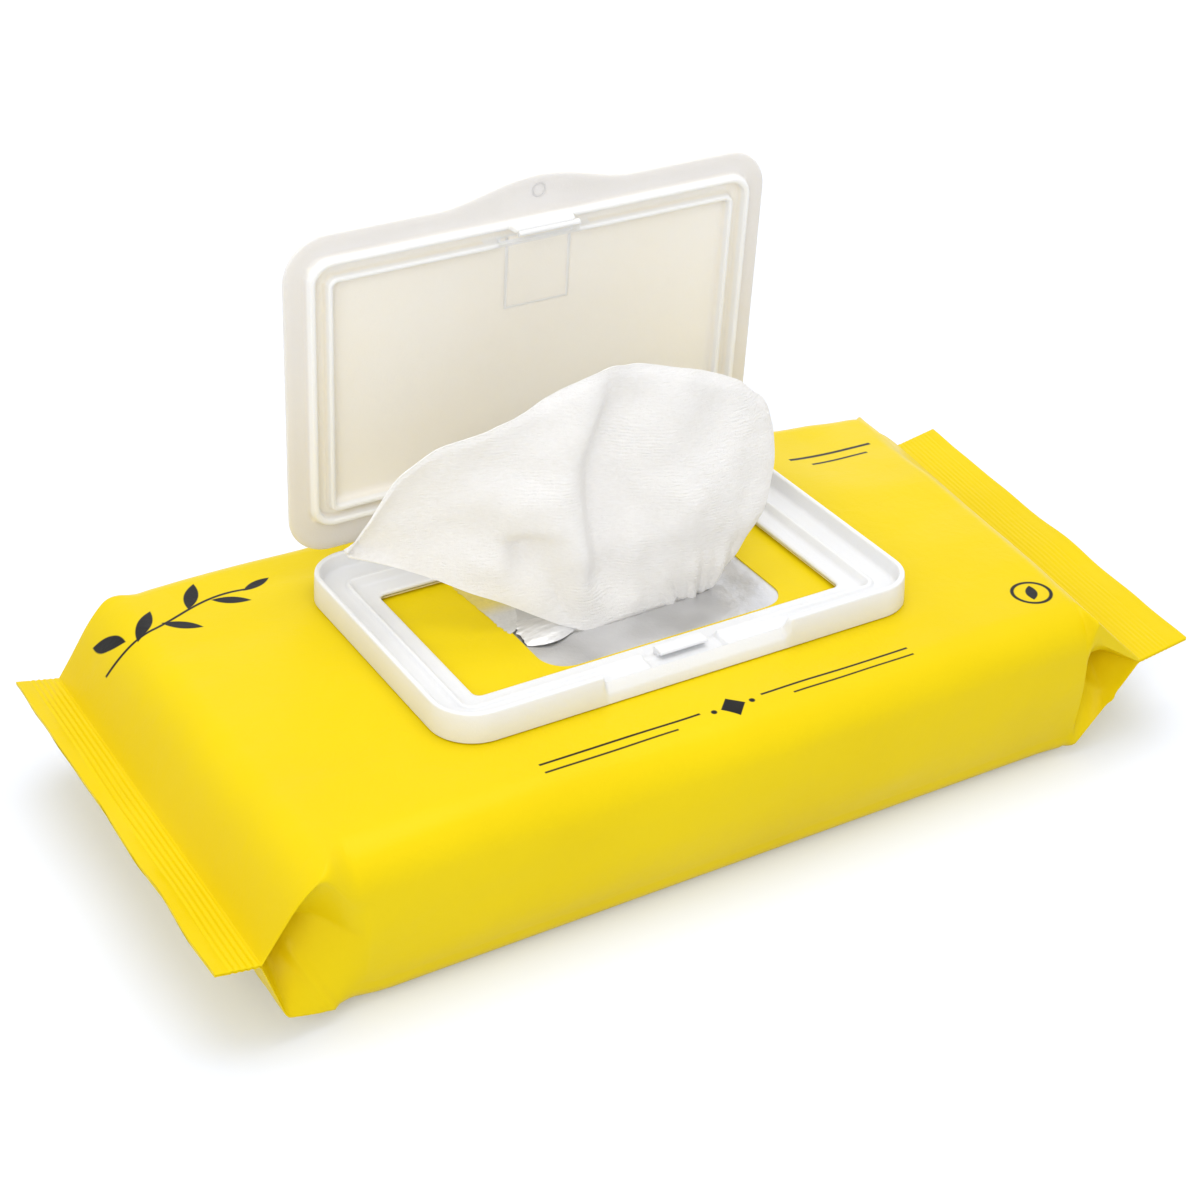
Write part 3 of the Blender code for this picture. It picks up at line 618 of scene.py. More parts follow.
# Painted highlight: white streaks along the curl's length are mixed into its base colour as glints.
stretch_and_glint = bright.grain(bright.drawn_out(bright.place(), (0.25, 1.2, 1.2)), 0.9, 4.0, 0.6)
bright.finish(
    Base_Color=bright.blend(stretch_and_glint, FOIL_STRETCHED, FOIL_GLINT),
    Roughness=0.24 + stretch_and_glint * 0.2,
    Normal=bright.bump(stretch_and_glint, 0.0003, 0.4),
    Metallic=0.6,
)
bright.dress(foil_curl)
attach(foil_curl, "pack")

# Peel remnant: a frosted scrap of the peeled ply's adhesive. It was left on the film beside the slit's
# left end when the patch was pulled off, and is ragged, thin and half clear.
SCRAP_PLY = 0.05 * MM
SCRAP_LEFT = ((-25.8, 18.4), (-25.2, 12.4), (-24.8, 6.2), (-24.6, 1.2), (-24.0, -2.4))
SCRAP_RIGHT = ((-23.0, 17.2), (-19.6, 12.4), (-17.6, 7.4), (-19.6, 2.4), (-22.2, -1.8))
SCRAP_CLEAR = (0.70, 0.69, 0.66, 1)
SCRAP_OVER_FILM = (0.80, 0.66, 0.16, 1)
scrap_rows = []
for k in range(41):
    share = k / 40 * (len(SCRAP_LEFT) - 1)
    first = min(int(share), len(SCRAP_LEFT) - 2)
    part = share - first
    a, b = (Vector(edge[first]).lerp(Vector(edge[first + 1]), part) for edge in (SCRAP_LEFT, SCRAP_RIGHT))
    row = []
    for step in range(13):
        point = a.lerp(b, step / 12)
        rough = waver(point.y * 1.9, step * 0.4, 5.0) * 0.7 * abs(step / 6 - 1) ** 3
        up = 0.10 + 0.08 * waver(point.x, point.y, 1.0)
        row.append(((point.x + rough) * MM + FRAME_X, point.y * MM + FRAME_Y, FILM_TOP + up * MM))
    scrap_rows.append(row)
peel_scrap = sheet_between("peel_scrap", scrap_rows, closed=False)
thicken(peel_scrap, SCRAP_PLY)
frosted = Recipe("frosted_remnant")
place = frosted.place()
y = frosted.axes(place)[1]
fibres = frosted.grain(place, 0.9, 5.0, 0.7)
frosted.finish(
    Base_Color=frosted.blend((y - 5.0).rise(0.0, 6.0), SCRAP_CLEAR, SCRAP_OVER_FILM),
    Roughness=0.35 + fibres * 0.3,
    Alpha=0.60 + fibres * 0.35,
    Normal=frosted.bump(fibres, 0.0002, 0.6),
)
frosted.dress(peel_scrap)
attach(peel_scrap, "pack")

# Wipes in the pouch: a stack of damp nonwoven sheets, each folded over itself and laid on the next.
# They are seen only through the slit, and the stack leans down at the corner where the film sags.
STACK_LAYERS = 9
STACK_BOTTOM = 1.8 * MM
STACK_TOP = 32.9 * MM
STACK_HALF_X = 75.3 * MM
STACK_HALF_Y = 46 * MM
STACK_LEAN = 0.14
DAMP_DEEP = (0.80, 0.79, 0.77, 1)
DAMP_TOP = (0.90, 0.90, 0.89, 1)
layer_height = (STACK_TOP - STACK_BOTTOM) / STACK_LAYERS
fold_outline = []
for k in range(9):
    angle = math.radians(-90 + 180 * k / 8)
    across = STACK_HALF_Y - layer_height / 2 * (1 - math.cos(angle))
    fold_outline.append((across, layer_height * 0.46 * math.sin(angle)))
fold_outline += [(-across, up) for across, up in reversed(fold_outline)]
fold_rows = []
for k in range(25):
    px = -STACK_HALF_X + 2 * STACK_HALF_X * k / 24
    fold_rows.append([
        (px, across + 0.4 * MM * waver(px * 60, across * 900, 0.0), up)
        for across, up in fold_outline
    ])
folded_wipe = sheet_between("folded_wipe", fold_rows)


def mend(piece):
    """Merges doubled vertices, fills open ends and turns the faces outwards."""
    made = bmesh.new()
    made.from_mesh(piece.data)
    bmesh.ops.remove_doubles(made, verts=made.verts, dist=1e-7)
    bmesh.ops.holes_fill(made, edges=made.edges)
    bmesh.ops.recalc_face_normals(made, faces=made.faces)
    made.to_mesh(piece.data)
    made.free()


mend(folded_wipe)
damp = Recipe("damp_nonwoven")
weave = damp.grain(damp.place(), 1.6, 4.0, 0.6)
damp.finish(
    Base_Color=damp.blend(weave, DAMP_DEEP, DAMP_TOP),
    Roughness=0.6 + weave * 0.25,
    Normal=damp.bump(weave, 0.0003, 0.7),
)

stacking = bpy.data.node_groups.new("stacked_wipes", "GeometryNodeTree")
stacking.interface.new_socket("Geometry", in_out="INPUT", socket_type="NodeSocketGeometry")
for label, kind in (("Layers", "NodeSocketInt"), ("Rise", "NodeSocketFloat"), ("Bottom", "NodeSocketFloat")):
    stacking.interface.new_socket(label, in_out="INPUT", socket_type=kind)
stacking.interface.new_socket("Material", in_out="INPUT", socket_type="NodeSocketMaterial")
stacking.interface.new_socket("Geometry", in_out="OUTPUT", socket_type="NodeSocketGeometry")
parts = {}
for label, kind in (
    ("given", "NodeGroupInput"), ("made", "NodeGroupOutput"), ("line", "GeometryNodeMeshLine"),
    ("start", "ShaderNodeCombineXYZ"), ("step", "ShaderNodeCombineXYZ"),
    ("copies", "GeometryNodeInstanceOnPoints"), ("index", "GeometryNodeInputIndex"),
    ("taper", "ShaderNodeMapRange"), ("size", "ShaderNodeCombineXYZ"),
    ("real", "GeometryNodeRealizeInstances"), ("coat", "GeometryNodeSetMaterial"),
):
    parts[label] = stacking.nodes.new(kind)
wires = (
    ("given", "Layers", "line", "Count"), ("given", "Rise", "step", "Z"), ("given", "Bottom", "start", "Z"),
    ("start", 0, "line", "Start Location"), ("step", 0, "line", "Offset"), ("line", 0, "copies", "Points"),
    ("given", "Geometry", "copies", "Instance"), ("index", 0, "taper", "Value"), ("taper", 0, "size", "Y"),
    ("size", 0, "copies", "Scale"), ("copies", 0, "real", 0), ("real", 0, "coat", "Geometry"),
    ("given", "Material", "coat", "Material"), ("coat", 0, "made", 0),
)
for source, out, target, into in wires:
    stacking.links.new(parts[source].outputs[out], parts[target].inputs[into])
parts["taper"].inputs["From Max"].default_value = 3.0
parts["taper"].inputs["To Min"].default_value = 0.93
parts["taper"].inputs["To Max"].default_value = 1.0
parts["size"].inputs["X"].default_value = 1.0
parts["size"].inputs["Z"].default_value = 1.0
stack = folded_wipe.modifiers.new("stack", "NODES")
stack.node_group = stacking
sockets = {item.name: item.identifier for item in stacking.interface.items_tree if item.in_out == "INPUT"}
stack[sockets["Layers"]] = STACK_LAYERS
stack[sockets["Rise"]] = layer_height
stack[sockets["Bottom"]] = STACK_BOTTOM + layer_height / 2
stack[sockets["Material"]] = damp.owner
stacked = settled(folded_wipe)
for vertex in stacked.vertices:
    lying = ramp(vertex.co.y / MM, 6, 40) * ramp(vertex.co.x / MM, 36, 68)
    vertex.co.z *= 1 - STACK_LEAN * lying
folded_wipe.name = "wipes_folded"
soften(stacked, 50)
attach(folded_wipe, "pack")
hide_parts("wipes_stack")

# Drawn wipe: the top sheet, pulled up through the slit and left standing. It fans out from the slit,
# is gathered at its foot, falls in soft folds, and its free corner reaches out over the frame's left end.
WIPE_THICKNESS = 0.30 * MM
WIPE_COLUMNS = 190
WIPE_ROWS = 110
WIPE_SHADE = (0.905, 0.885, 0.862, 1)
WIPE_LIGHT = (0.945, 0.928, 0.908, 1)
CREST = (
    (-51.5, 10, 19.2), (-45.6, 8.5, 29), (-39.9, 7, 35.4), (-32.5, 5, 39.5), (-25, 3.4, 41.8),
    (-17.2, 2, 44.6), (-11.3, 1, 47.7), (-5.5, 0, 50.1), (1.1, 0, 50.6), (7.7, 0, 49.6),
    (16.8, 0, 47.0), (25, 0, 43.2), (31.4, 0, 38.6), (36.0, 0, 33.9), (37.4, 0, 29.3),
)
HEM = (
    (-51.5, 10, 18.6), (-42.2, 8, 14.6), (-35.2, 5, 11.4), (-30.3, 2, 9.0), (-24.9, -0.6, 6.6),
    (-18.8, -3.4, 3.2), (-14.4, -5.4, 0.8), (-11.0, -7.0, -0.4), (-7.5, -7.2, -1.4), (-3.0, -7.0, -1.7),
    (3.0, -6.8, -1.7), (8.0, -6.6, -1.7), (13.0, -6.3, -1.7), (17.0, -5.9, -1.7), (19.6, -4.8, -1.5),
)
DENTS = (
    (4.0, -18.8, 3.8, 17.2, 2.3, 6.5), (-1.1, -18.0, 7.0, 26.0, 4.5, 4.5), (1.4, -14.2, 3.0, 9.0, 5.5, 5.5),
)


def on_curve(points, share):
    """The place at a share of a smooth curve through the points."""
    spans = len(points) - 1
    at = min(share * spans, spans - 1e-6)
    k = int(at)
    t = at - k
    a, b, c, d = (Vector(points[min(max(k + step, 0), spans)]) for step in (-1, 0, 1, 2))
    return 0.5 * (2 * b + (c - a) * t + (2 * a - 5 * b + 4 * c - d) * t**2 + (3 * b - a - 3 * c + d) * t**3)


def wipe_place(across, up):
    """The sheet's place, in metres, at a share across it and up from its hem."""
    point = on_curve(HEM, across).lerp(on_curve(CREST, across), up)
    arch = 4 * up * (1 - up)
    left = 1 - ramp(across, 0.18, 0.5)
    point.x += 4.2 * arch * ramp(across, 0.55, 1.0) ** 1.4
    point.y -= 3.2 * arch * (1 - left) * (0.6 + 0.4 * math.sin(across * 9.0))
    point.y += 2.0 * arch * left
    u, v = point.x, point.z
    beside = u + 4.6 - 5.2 * ramp(v, 30, 46) - 4.0 * (1 - ramp(v, 0, 10))
    valley = bell(beside, 3.6 + 3.6 * ramp(beside, -5, 5))
    point.y += 4.4 * valley * ramp(v, -2, 12) * (1 - ramp(v, 40, 52))
    point.y -= 0.8 * bell(beside + 8.0, 4.5) * ramp(v, 2, 14)
    point.y -= 1.7 * bell(u - 13.5, 7.0) * ramp(v, 0, 20)
    point.y -= 0.9 * bell(u - 1.8, 2.0) * (1 - ramp(v, 10, 26)) * ramp(v, -1, 3)
    for deep, middle_u, wide, middle_v, above, below in DENTS:
        tall = above if v > middle_v else below
        point.y += deep * bell(u - middle_u, wide) * bell(v - middle_v, tall)
    fan = math.degrees(math.atan2(u - 17.0, v + 17.0))
    pleat = math.sin(fan * 0.36 + 0.9) + 0.6 * math.sin(fan * 0.71 + 2.2)
    point.y += 0.55 * pleat * ramp(u, 3, 15) * math.exp(-max(v, 0.0) / 12.0)
    creased = bell(u + 14.6 - 0.33 * (8.2 - v), 1.2)
    point.y += 0.55 * creased * (1 - ramp(v, 6.5, 11)) * ramp(v, -1, 1.0)
    billow = waver(u * 0.075, v * 0.085, 3.3) * 1.6
    billow += waver(u * 0.21, v * 0.17, 8.1) * 0.45
    point.y += billow * ramp(v, 0, 9) * (0.35 + 0.65 * ramp(up, 0.0, 0.3))
    turned = ramp(across, 0.965, 1.0)
    point.y += 3.2 * turned ** 1.5 + 0.5 * ramp(up, 0.93, 1.0) ** 2
    point.x -= 1.1 * turned * turned
    frayed = 0.35 * waver(across * 23, 0.4, 1.0) + 0.12 * math.sin(across * 71)
    point.z += frayed * up ** 6
    return point.x * MM + FRAME_X, point.y * MM + FRAME_Y, point.z * MM + FILM_TOP


wipe_rows = [
    [wipe_place(i / WIPE_COLUMNS, j / WIPE_ROWS) for i in range(WIPE_COLUMNS + 1)]
    for j in range(WIPE_ROWS + 1)
]
drawn_wipe = sheet_between("drawn_wipe", wipe_rows, closed=False)
sheet_map = drawn_wipe.data.uv_layers.new(name="sheet")
coordinates = np.zeros(len(drawn_wipe.data.loops) * 2)
corner = np.zeros(len(drawn_wipe.data.loops), dtype=int)
drawn_wipe.data.loops.foreach_get("vertex_index", corner)
coordinates[0::2] = (corner % (WIPE_COLUMNS + 1)) / WIPE_COLUMNS
coordinates[1::2] = (corner // (WIPE_COLUMNS + 1)) / WIPE_ROWS
sheet_map.data.foreach_set("uv", coordinates)
thicken(drawn_wipe, WIPE_THICKNESS, 0.0)

nonwoven = Recipe("white_nonwoven")
place = nonwoven.place()
x, _, z = nonwoven.axes(place)
fibre = nonwoven.grain(nonwoven.drawn_out(place, (0.45, 0.8, 1.9)), 1.5, 6.0, 0.72)
felt = nonwoven.grain(place, 0.5, 4.0, 0.6)
ripple = ((z * 9.5) + felt * 9.0 + (x * 0.6)).sine()
patch = nonwoven.grain(place, 0.05, 2.0, 0.5)
laid = ripple * 0.10 * patch.rise(0.42, 0.66)
nonwoven.finish(
    Base_Color=nonwoven.blend(fibre.rise(0.3, 0.7), WIPE_SHADE, WIPE_LIGHT),
    Roughness=0.78 + felt * 0.15,
    Normal=nonwoven.bump(fibre + laid + felt * 0.5, 0.0006, 0.7),
    Subsurface_Weight=0.25,
    Subsurface_Radius=(0.004, 0.0036, 0.003),
    Subsurface_Scale=0.5,
    Sheen_Weight=0.15,
    Specular_IOR_Level=0.25,
)
nonwoven.dress(drawn_wipe)
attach(drawn_wipe, "pack")
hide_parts("pulled_wipe")

# Glue ring: a bead of clear hot-melt adhesive, laid on the film and pressed flat by the moulded frame.
# The yellow film shows through it. The solid's own mesh is kept, and only gets its finish here.
GLUE_OVER_FILM = (0.80, 0.70, 0.34, 1)
GLUE_CLOUDED = (0.86, 0.80, 0.56, 1)
tacky = Recipe("hot_melt")
strands = tacky.grain(tacky.place(), 0.8, 3.0, 0.6)
tacky.finish(
    Base_Color=tacky.blend(strands, GLUE_OVER_FILM, GLUE_CLOUDED),
    Roughness=0.22 + strands * 0.2,
    Normal=tacky.bump(strands, 0.0002, 0.5),
)
tacky.dress(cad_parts["glue_ring"])

# Flip-top frame: one white polypropylene moulding with a raised outer rim, a groove that the lid's rib
# drops into, a sealing bead, a sloping land and the window. Its front wall is cut back for a thumb.
FRAME_FOOT = FILM_TOP + 0.25 * MM
FRAME_RADIUS = 9 * MM
FLANGE_X = 11.4 * MM
FLANGE_Y = 12.4 * MM
THUMB_HALF = 21 * MM
POCKET_HALF = 8.5 * MM
CORNER_STEPS = 14
WINDOW_RADIUS = 1.7 * MM
MOULDED_COOL = (0.745, 0.750, 0.762, 1)
MOULDED_LIGHT = (0.770, 0.775, 0.786, 1)


def eased(corners, steps=3):
    """A profile with each corner rounded. Corners are (inset, height, rounding) in millimetres."""
    points = []
    for k, (inset, height, rounding) in enumerate(corners):
        here = Vector((inset, height))
        ends = []
        for target in (corners[k - 1], corners[(k + 1) % len(corners)]):
            away = Vector(target[:2]) - here
            ends.append(here + away.normalized() * min(rounding, away.length * 0.48))
        for step in range(steps + 1):
            t = step / steps
            points.append(ends[0] * (1 - t) ** 2 + here * 2 * t * (1 - t) + ends[1] * t * t)
    return points


def boundary(stations):
    """Places round a rounded rectangle: front stations first, then the corners."""
    places = [("front", px) for px in stations]
    for sign_x, sign_y, start in CORNERS:
        for k in range(CORNER_STEPS + 1):
            places.append(("corner", sign_x, sign_y, math.radians(start + 90 * k / CORNER_STEPS)))
    return places


def on_boundary(where, half_x, half_y, radius):
    if where[0] == "front":
        return min(max(where[1], radius - half_x), half_x - radius), -half_y
    _, sign_x, sign_y, angle = where
    return (
        sign_x * (half_x - radius) + radius * math.cos(angle),
        sign_y * (half_y - radius) + radius * math.sin(angle),
    )


def steps_of(*ranges):
    """Stations in metres, from (start, end, count) ranges in millimetres, mirrored about the middle."""
    found = {0.0}
    for start, end, count in ranges:
        found |= {round(start + (end - start) * k / count, 4) for k in range(count + 1)}
    found |= {-value for value in found}
    return [value * MM for value in sorted(found)]


frame_places = boundary(steps_of((0.5, 8.1, 6), (8.1, 8.9, 4), (9.6, 19.0, 6), (19.2, 21.6, 8), (23, 36, 3)))


def frame_profile(thumb, pocket):
    """The moulding's section, from its outer foot over the rim and groove to the window, and back beneath."""
    rim = 6.15 - 2.2 * thumb
    lean = 1.35 * thumb
    groove = 2.9
    floor = groove + (2.1 - groove) * pocket
    bead = 3.45 + (2.1 - 3.45) * pocket
    crest = rim if thumb < 0.5 else max(rim, floor + 0.6)
    return [
        (0.0, 0.0, 0.1), (0.12 + lean * 0.25, rim * 0.5, 0.3), (0.30 + lean, crest, 0.42),
        (1.35 + lean * 0.15, crest - 0.25 * thumb, 0.42), (1.70, floor + 0.35, 0.3),
        (2.3, floor, 0.35), (5.9, floor, 0.35), (6.35, bead, 0.28), (6.95, bead, 0.28), (7.9, 1.8, 0.55),
        (11.0, 1.62, 0.25), (11.4, 1.3, 0.2), (11.4, 0.85, 0.12), (7.6, 0.85, 0.1), (6.6, 1.15, 0.2),
        (2.0, 1.15, 0.3), (1.15, 0.0, 0.1),
    ]


ring_columns = []
for where in frame_places:
    thumb = pocket = 0.0
    if where[0] == "front":
        thumb = 1 - ramp(abs(where[1]), THUMB_HALF - 1.5 * MM, THUMB_HALF)
        pocket = 1 - ramp(abs(where[1]), POCKET_HALF - 0.35 * MM, POCKET_HALF + 0.1 * MM)
    column = []
    for point in eased(frame_profile(thumb, pocket)):
        inset = point.x * MM
        px, py = on_boundary(
            where,
            FRAME_LENGTH / 2 - inset,
            FRAME_WIDTH / 2 - inset * FLANGE_Y / FLANGE_X,
            max(FRAME_RADIUS - inset, WINDOW_RADIUS),
        )
        column.append((px + FRAME_X, py + FRAME_Y, point.y * MM + FRAME_FOOT))
    ring_columns.append(column)
ring_columns.append(ring_columns[0])
flip_frame = sheet_between("flip_frame", ring_columns)
mend(flip_frame)
soften(flip_frame.data, 48)

# Catch bar: the ledge across the pocket that the lid's tongue snaps under. It is part of the frame's
# white polypropylene moulding, with rounded edges and slightly smaller ends.
BAR_MIDDLE = (-26.4, 2.9)
BAR_ROUNDING = 4
BAR_CORNERS = (
    (-24.6, 1.4, 0.05), (-24.6, 3.8, 0.35), (-27.5, 3.8, 0.45),
    (-27.7, 3.1, 0.25), (-26.3, 2.9, 0.2), (-26.3, 1.4, 0.05),
)
BAR_STATIONS = (
    (-5.2, 0.93), (-5.12, 0.97), (-4.9, 0.99), (-4.5, 1), (-2.5, 1), (0.0, 1),
    (2.5, 1), (4.5, 1), (4.9, 0.99), (5.12, 0.97), (5.2, 0.93),
)
bar_rows = []
for px, share in BAR_STATIONS:
    middle = Vector(BAR_MIDDLE)
    section = [middle + (point - middle) * share for point in eased(BAR_CORNERS, BAR_ROUNDING)]
    bar_rows.append([(px * MM + FRAME_X, py * MM + FRAME_Y, pz * MM + FRAME_FOOT) for py, pz in section])
catch_bar = sheet_between("catch_bar", bar_rows)
mend(catch_bar)
soften(catch_bar.data, 48)

moulded = Recipe("white_polypropylene")
place = moulded.place()
flow = moulded.grain(place, 0.04, 3.0, 0.5)
satin = moulded.grain(place, 2.2, 3.0, 0.6)
scuff = moulded.grain(moulded.drawn_out(place, (0.3, 2.2, 2.2)), 0.5, 5.0, 0.7)
moulded.finish(
    Base_Color=moulded.blend(flow.rise(0.3, 0.7), MOULDED_COOL, MOULDED_LIGHT),
    Roughness=0.26 + flow * 0.10 + scuff.rise(0.58, 0.72) * 0.12,
    Normal=moulded.bump(satin + flow * 3, 0.00012, 0.45),
    Subsurface_Weight=0.22,
    Subsurface_Radius=(0.004, 0.0038, 0.0032),
    Subsurface_Scale=0.5,
)
for piece in (flip_frame, catch_bar):
    moulded.dress(piece)
    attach(piece, "pack")
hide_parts("lid_base")

# Lid: the same moulding's thin cover, standing open. Inside it has a plain flange, a tall sealing rib, a
# lower inner rib that stops short for the catch, a panel set one step deeper, and a thumb tab on its edge.
HINGE_Y = FRAME_Y + 34.8 * MM
HINGE_Z = 41.7 * MM
LID_LENGTH = 106.4 * MM
LID_REACH = 69.3 * MM
HINGE_HEEL = 0.9 * MM
TAB_HALF = 21 * MM
TAB_REACH = 3.6 * MM
OPEN_ANGLE = math.radians(86)
PANEL_PAINTED_BOUNCE = (0.885, 0.852, 0.785, 1)
PANEL_PAINTED_BOUNCE_DEEP = (0.885, 0.842, 0.755, 1)
LID_COOL = (0.745, 0.717, 0.682, 1)
LID_LIGHT = (0.765, 0.737, 0.697, 1)
RIB_PAINTED_HIGHLIGHT = (0.86, 0.855, 0.838, 1)
MARK_PAINTED_HIGHLIGHT = (1.0, 0.985, 0.94, 1)
lid_turn = Matrix.Translation((FRAME_X, HINGE_Y, HINGE_Z)) @ Matrix.Rotation(-OPEN_ANGLE, 4, "X")
lid_places = boundary(steps_of((0.6, 6.0, 4), (6.2, 7.2, 4), (8.2, 9.0, 4), (10.5, 21, 9), (23, 36, 3)))


def lid_profile(tongue, gap):
    """Rows of side inset, rear inset, height, rounding, corner radius and tab share, from the middle out."""
    rib = -1.7 + (0.7 + 1.7) * gap
    lip = -1.9 - 2.0 * tongue
    return [
        (22.0, 24.0, 0.70, 0.0, 1.2, 0), (10.3, 11.8, 0.70, 0.6, 1.2, 0), (9.6, 11.05, 0.2, 0.4, 1.2, 0),
        (9.3, 10.75, rib, 0.42, 1.2, 0), (8.35, 9.75, rib, 0.42, 2.0, 0), (8.05, 9.5, 0.35, 0.5, 2.0, 0),
        (6.1, 8.4, 0.35, 0.5, 3.4, 0), (5.65, 7.95, lip, 0.45, 3.8, 0), (4.6, 6.9, lip, 0.45, 4.6, 0),
        (4.1, 6.4, 0.0, 0.6, 4.7, 0), (1.2, 1.2, 0.0, 0.5, 8.0, 1), (0.0, 0.0, 0.22, 0.4, 9.0, 1),
        (0.0, 0.0, 0.9, 0.45, 9.0, 1), (0.7, 0.7, 1.2, 0.5, 8.3, 1), (4.4, 4.4, 1.2, 1.2, 4.8, 0),
        (5.9, 5.9, 1.9, 1.2, 3.4, 0), (22.0, 24.0, 1.9, 0.0, 1.2, 0),
    ]


def eased_rows(rows, steps=3):
    """Rows with several values, each corner rounded by its side inset and height."""
    points = []
    for k, row in enumerate(rows):
        before = rows[max(k - 1, 0)]
        after = rows[min(k + 1, len(rows) - 1)]
        ends = []
        for target in (before, after):
            away = math.hypot(target[0] - row[0], target[2] - row[2])
            share = min(row[3] / away, 0.48) if away > 1e-6 else 0.0
            ends.append([a + (b - a) * share for a, b in zip(row, target)])
        if row[3] == 0.0:
            points.append(list(row))
            continue
        for step in range(steps + 1):
            t = step / steps
            points.append([
                a * (1 - t) ** 2 + b * 2 * t * (1 - t) + c * t * t for a, b, c in zip(ends[0], row, ends[1])
            ])
    return points


def lid_point(where, row):
    side, rear, height, _, radius, tab = row
    near = HINGE_HEEL - LID_REACH + side * MM
    far = HINGE_HEEL - rear * MM
    px, py = on_boundary(where, LID_LENGTH / 2 - side * MM, (far - near) / 2, radius * MM)
    if where[0] == "front" and tab and abs(px) < TAB_HALF:
        py -= TAB_REACH * tab * (0.5 + 0.5 * math.cos(math.pi * px / TAB_HALF)) ** 0.85
    return px, py + (near + far) / 2, height * MM


lid_columns = []
for where in lid_places:
    tongue = gap = 0.0
    if where[0] == "front":
        tongue = 1 - ramp(abs(where[1]), 6.3 * MM, 7.0 * MM)
        gap = 1 - ramp(abs(where[1]), 8.0 * MM, 9.2 * MM)
    lid_columns.append([lid_point(where, row) for row in eased_rows(lid_profile(tongue, gap))])
lid_shell = bmesh.new()
lid_grid = [[lid_shell.verts.new(point) for point in column] for column in lid_columns]
span(lid_shell, lid_grid + lid_grid[:1], closed=False)
for end in (0, -1):
    lid_shell.faces.new([column[end] for column in lid_grid])
bmesh.ops.recalc_face_normals(lid_shell, faces=lid_shell.faces)
flip_lid = linked("flip_lid", lid_shell)
flip_lid.data.transform(lid_turn)
soften(flip_lid.data, 48)

# Lid marks: the catch tongue's lip, and the shallow marks that the mould leaves on the lid's inner face,
# a thin framed rectangle below the tongue and a small ring on the tab. All are part of the moulding.
RECTANGLE = ((-6.0, -61.4, 0.70), (-6.0, -44.5, 0.70), (8.0, -44.5, 0.70), (8.0, -61.4, 0.70))
TONGUE_LIP = ((-6.0, -62.6, -3.65), (7.4, -62.6, -3.65))
RING_X = 0.3
RING_Y = -69.0
RING_RADIUS = 1.35
BEAD_SECTION = ((-0.5, -0.1), (-0.42, 0.55), (-0.2, 0.95), (0.2, 0.95), (0.42, 0.55), (0.5, -0.1))
lid_marks = bmesh.new()


def moulded_bead(points, width, height, closed=True):
    """A low rounded bead on the lid's inner face, along points given in the closed lid's frame."""
    count = len(points)
    rows = []
    for k, (px, py, pz) in enumerate(points):
        here = Vector((px, py))
        before = Vector(points[k - 1][:2]) if closed or k else here
        after = Vector(points[(k + 1) % count][:2]) if closed or k < count - 1 else here
        normal = Vector((-(after - before).y, (after - before).x)).normalized()
        row = []
        for side, up in BEAD_SECTION:
            spot = here + normal * side * width
            row.append(lid_marks.verts.new((spot.x * MM, spot.y * MM, (pz - up * height) * MM)))
        rows.append(row)
    if closed:
        rows.append(rows[0])
    else:
        lid_marks.faces.new(rows[0])
        lid_marks.faces.new(rows[-1])
    span(lid_marks, rows)


moulded_bead(RECTANGLE, 0.8, 0.06, closed=False)
ring_mark = []
for k in range(32):
    angle = 2 * math.pi * k / 32
    ring_mark.append((RING_X + RING_RADIUS * math.cos(angle), RING_Y + RING_RADIUS * math.sin(angle), 0.0))
moulded_bead(ring_mark, 0.45, 0.07)
moulded_bead(TONGUE_LIP, 1.2, 0.7, closed=False)
bmesh.ops.recalc_face_normals(lid_marks, faces=lid_marks.faces)
mould_marks = linked("lid_marks", lid_marks)
mould_marks.data.transform(lid_turn)
soften(mould_marks.data, 60)

thin_wall = Recipe("lid_polypropylene")
place = thin_wall.place()
x, y, z = thin_wall.axes(place)
flow = thin_wall.grain(place, 0.035, 3.0, 0.5)
satin = thin_wall.grain(place, 2.2, 3.0, 0.6)
centre_x = (x - FRAME_X / MM).size()
height = z - HINGE_Z / MM
depth = (y - HINGE_Y / MM) * math.sin(OPEN_ANGLE) + height * math.cos(OPEN_ANGLE)
# Painted light: the panel gets a lighter, warmer colour than the flange of the same moulding, standing in for
# the yellow film's bounced light and the light coming through the thin wall.
panel = (0.95 - depth).rise(-0.2, 0.0) * (48.4 - centre_x).rise(-0.5, 0.5)
panel = panel * (height - 6.8).rise(-0.5, 0.5) * (62.4 - height).rise(-0.5, 0.5)
by_tongue = (12.0 - centre_x).rise(0.0, 0.5)
# Painted highlight: the standing ribs, and the raised strip by the tongue, get a whiter colour than the
# flange of the same moulding, as if they caught the light.
rib_highlight = (depth * -1 - 0.2).rise(0.0, 0.9)
rib_highlight = rib_highlight.most((0.675 - depth).rise(0.0, 0.04) * by_tongue * (61.0 - height).rise(0.0, 1.0))
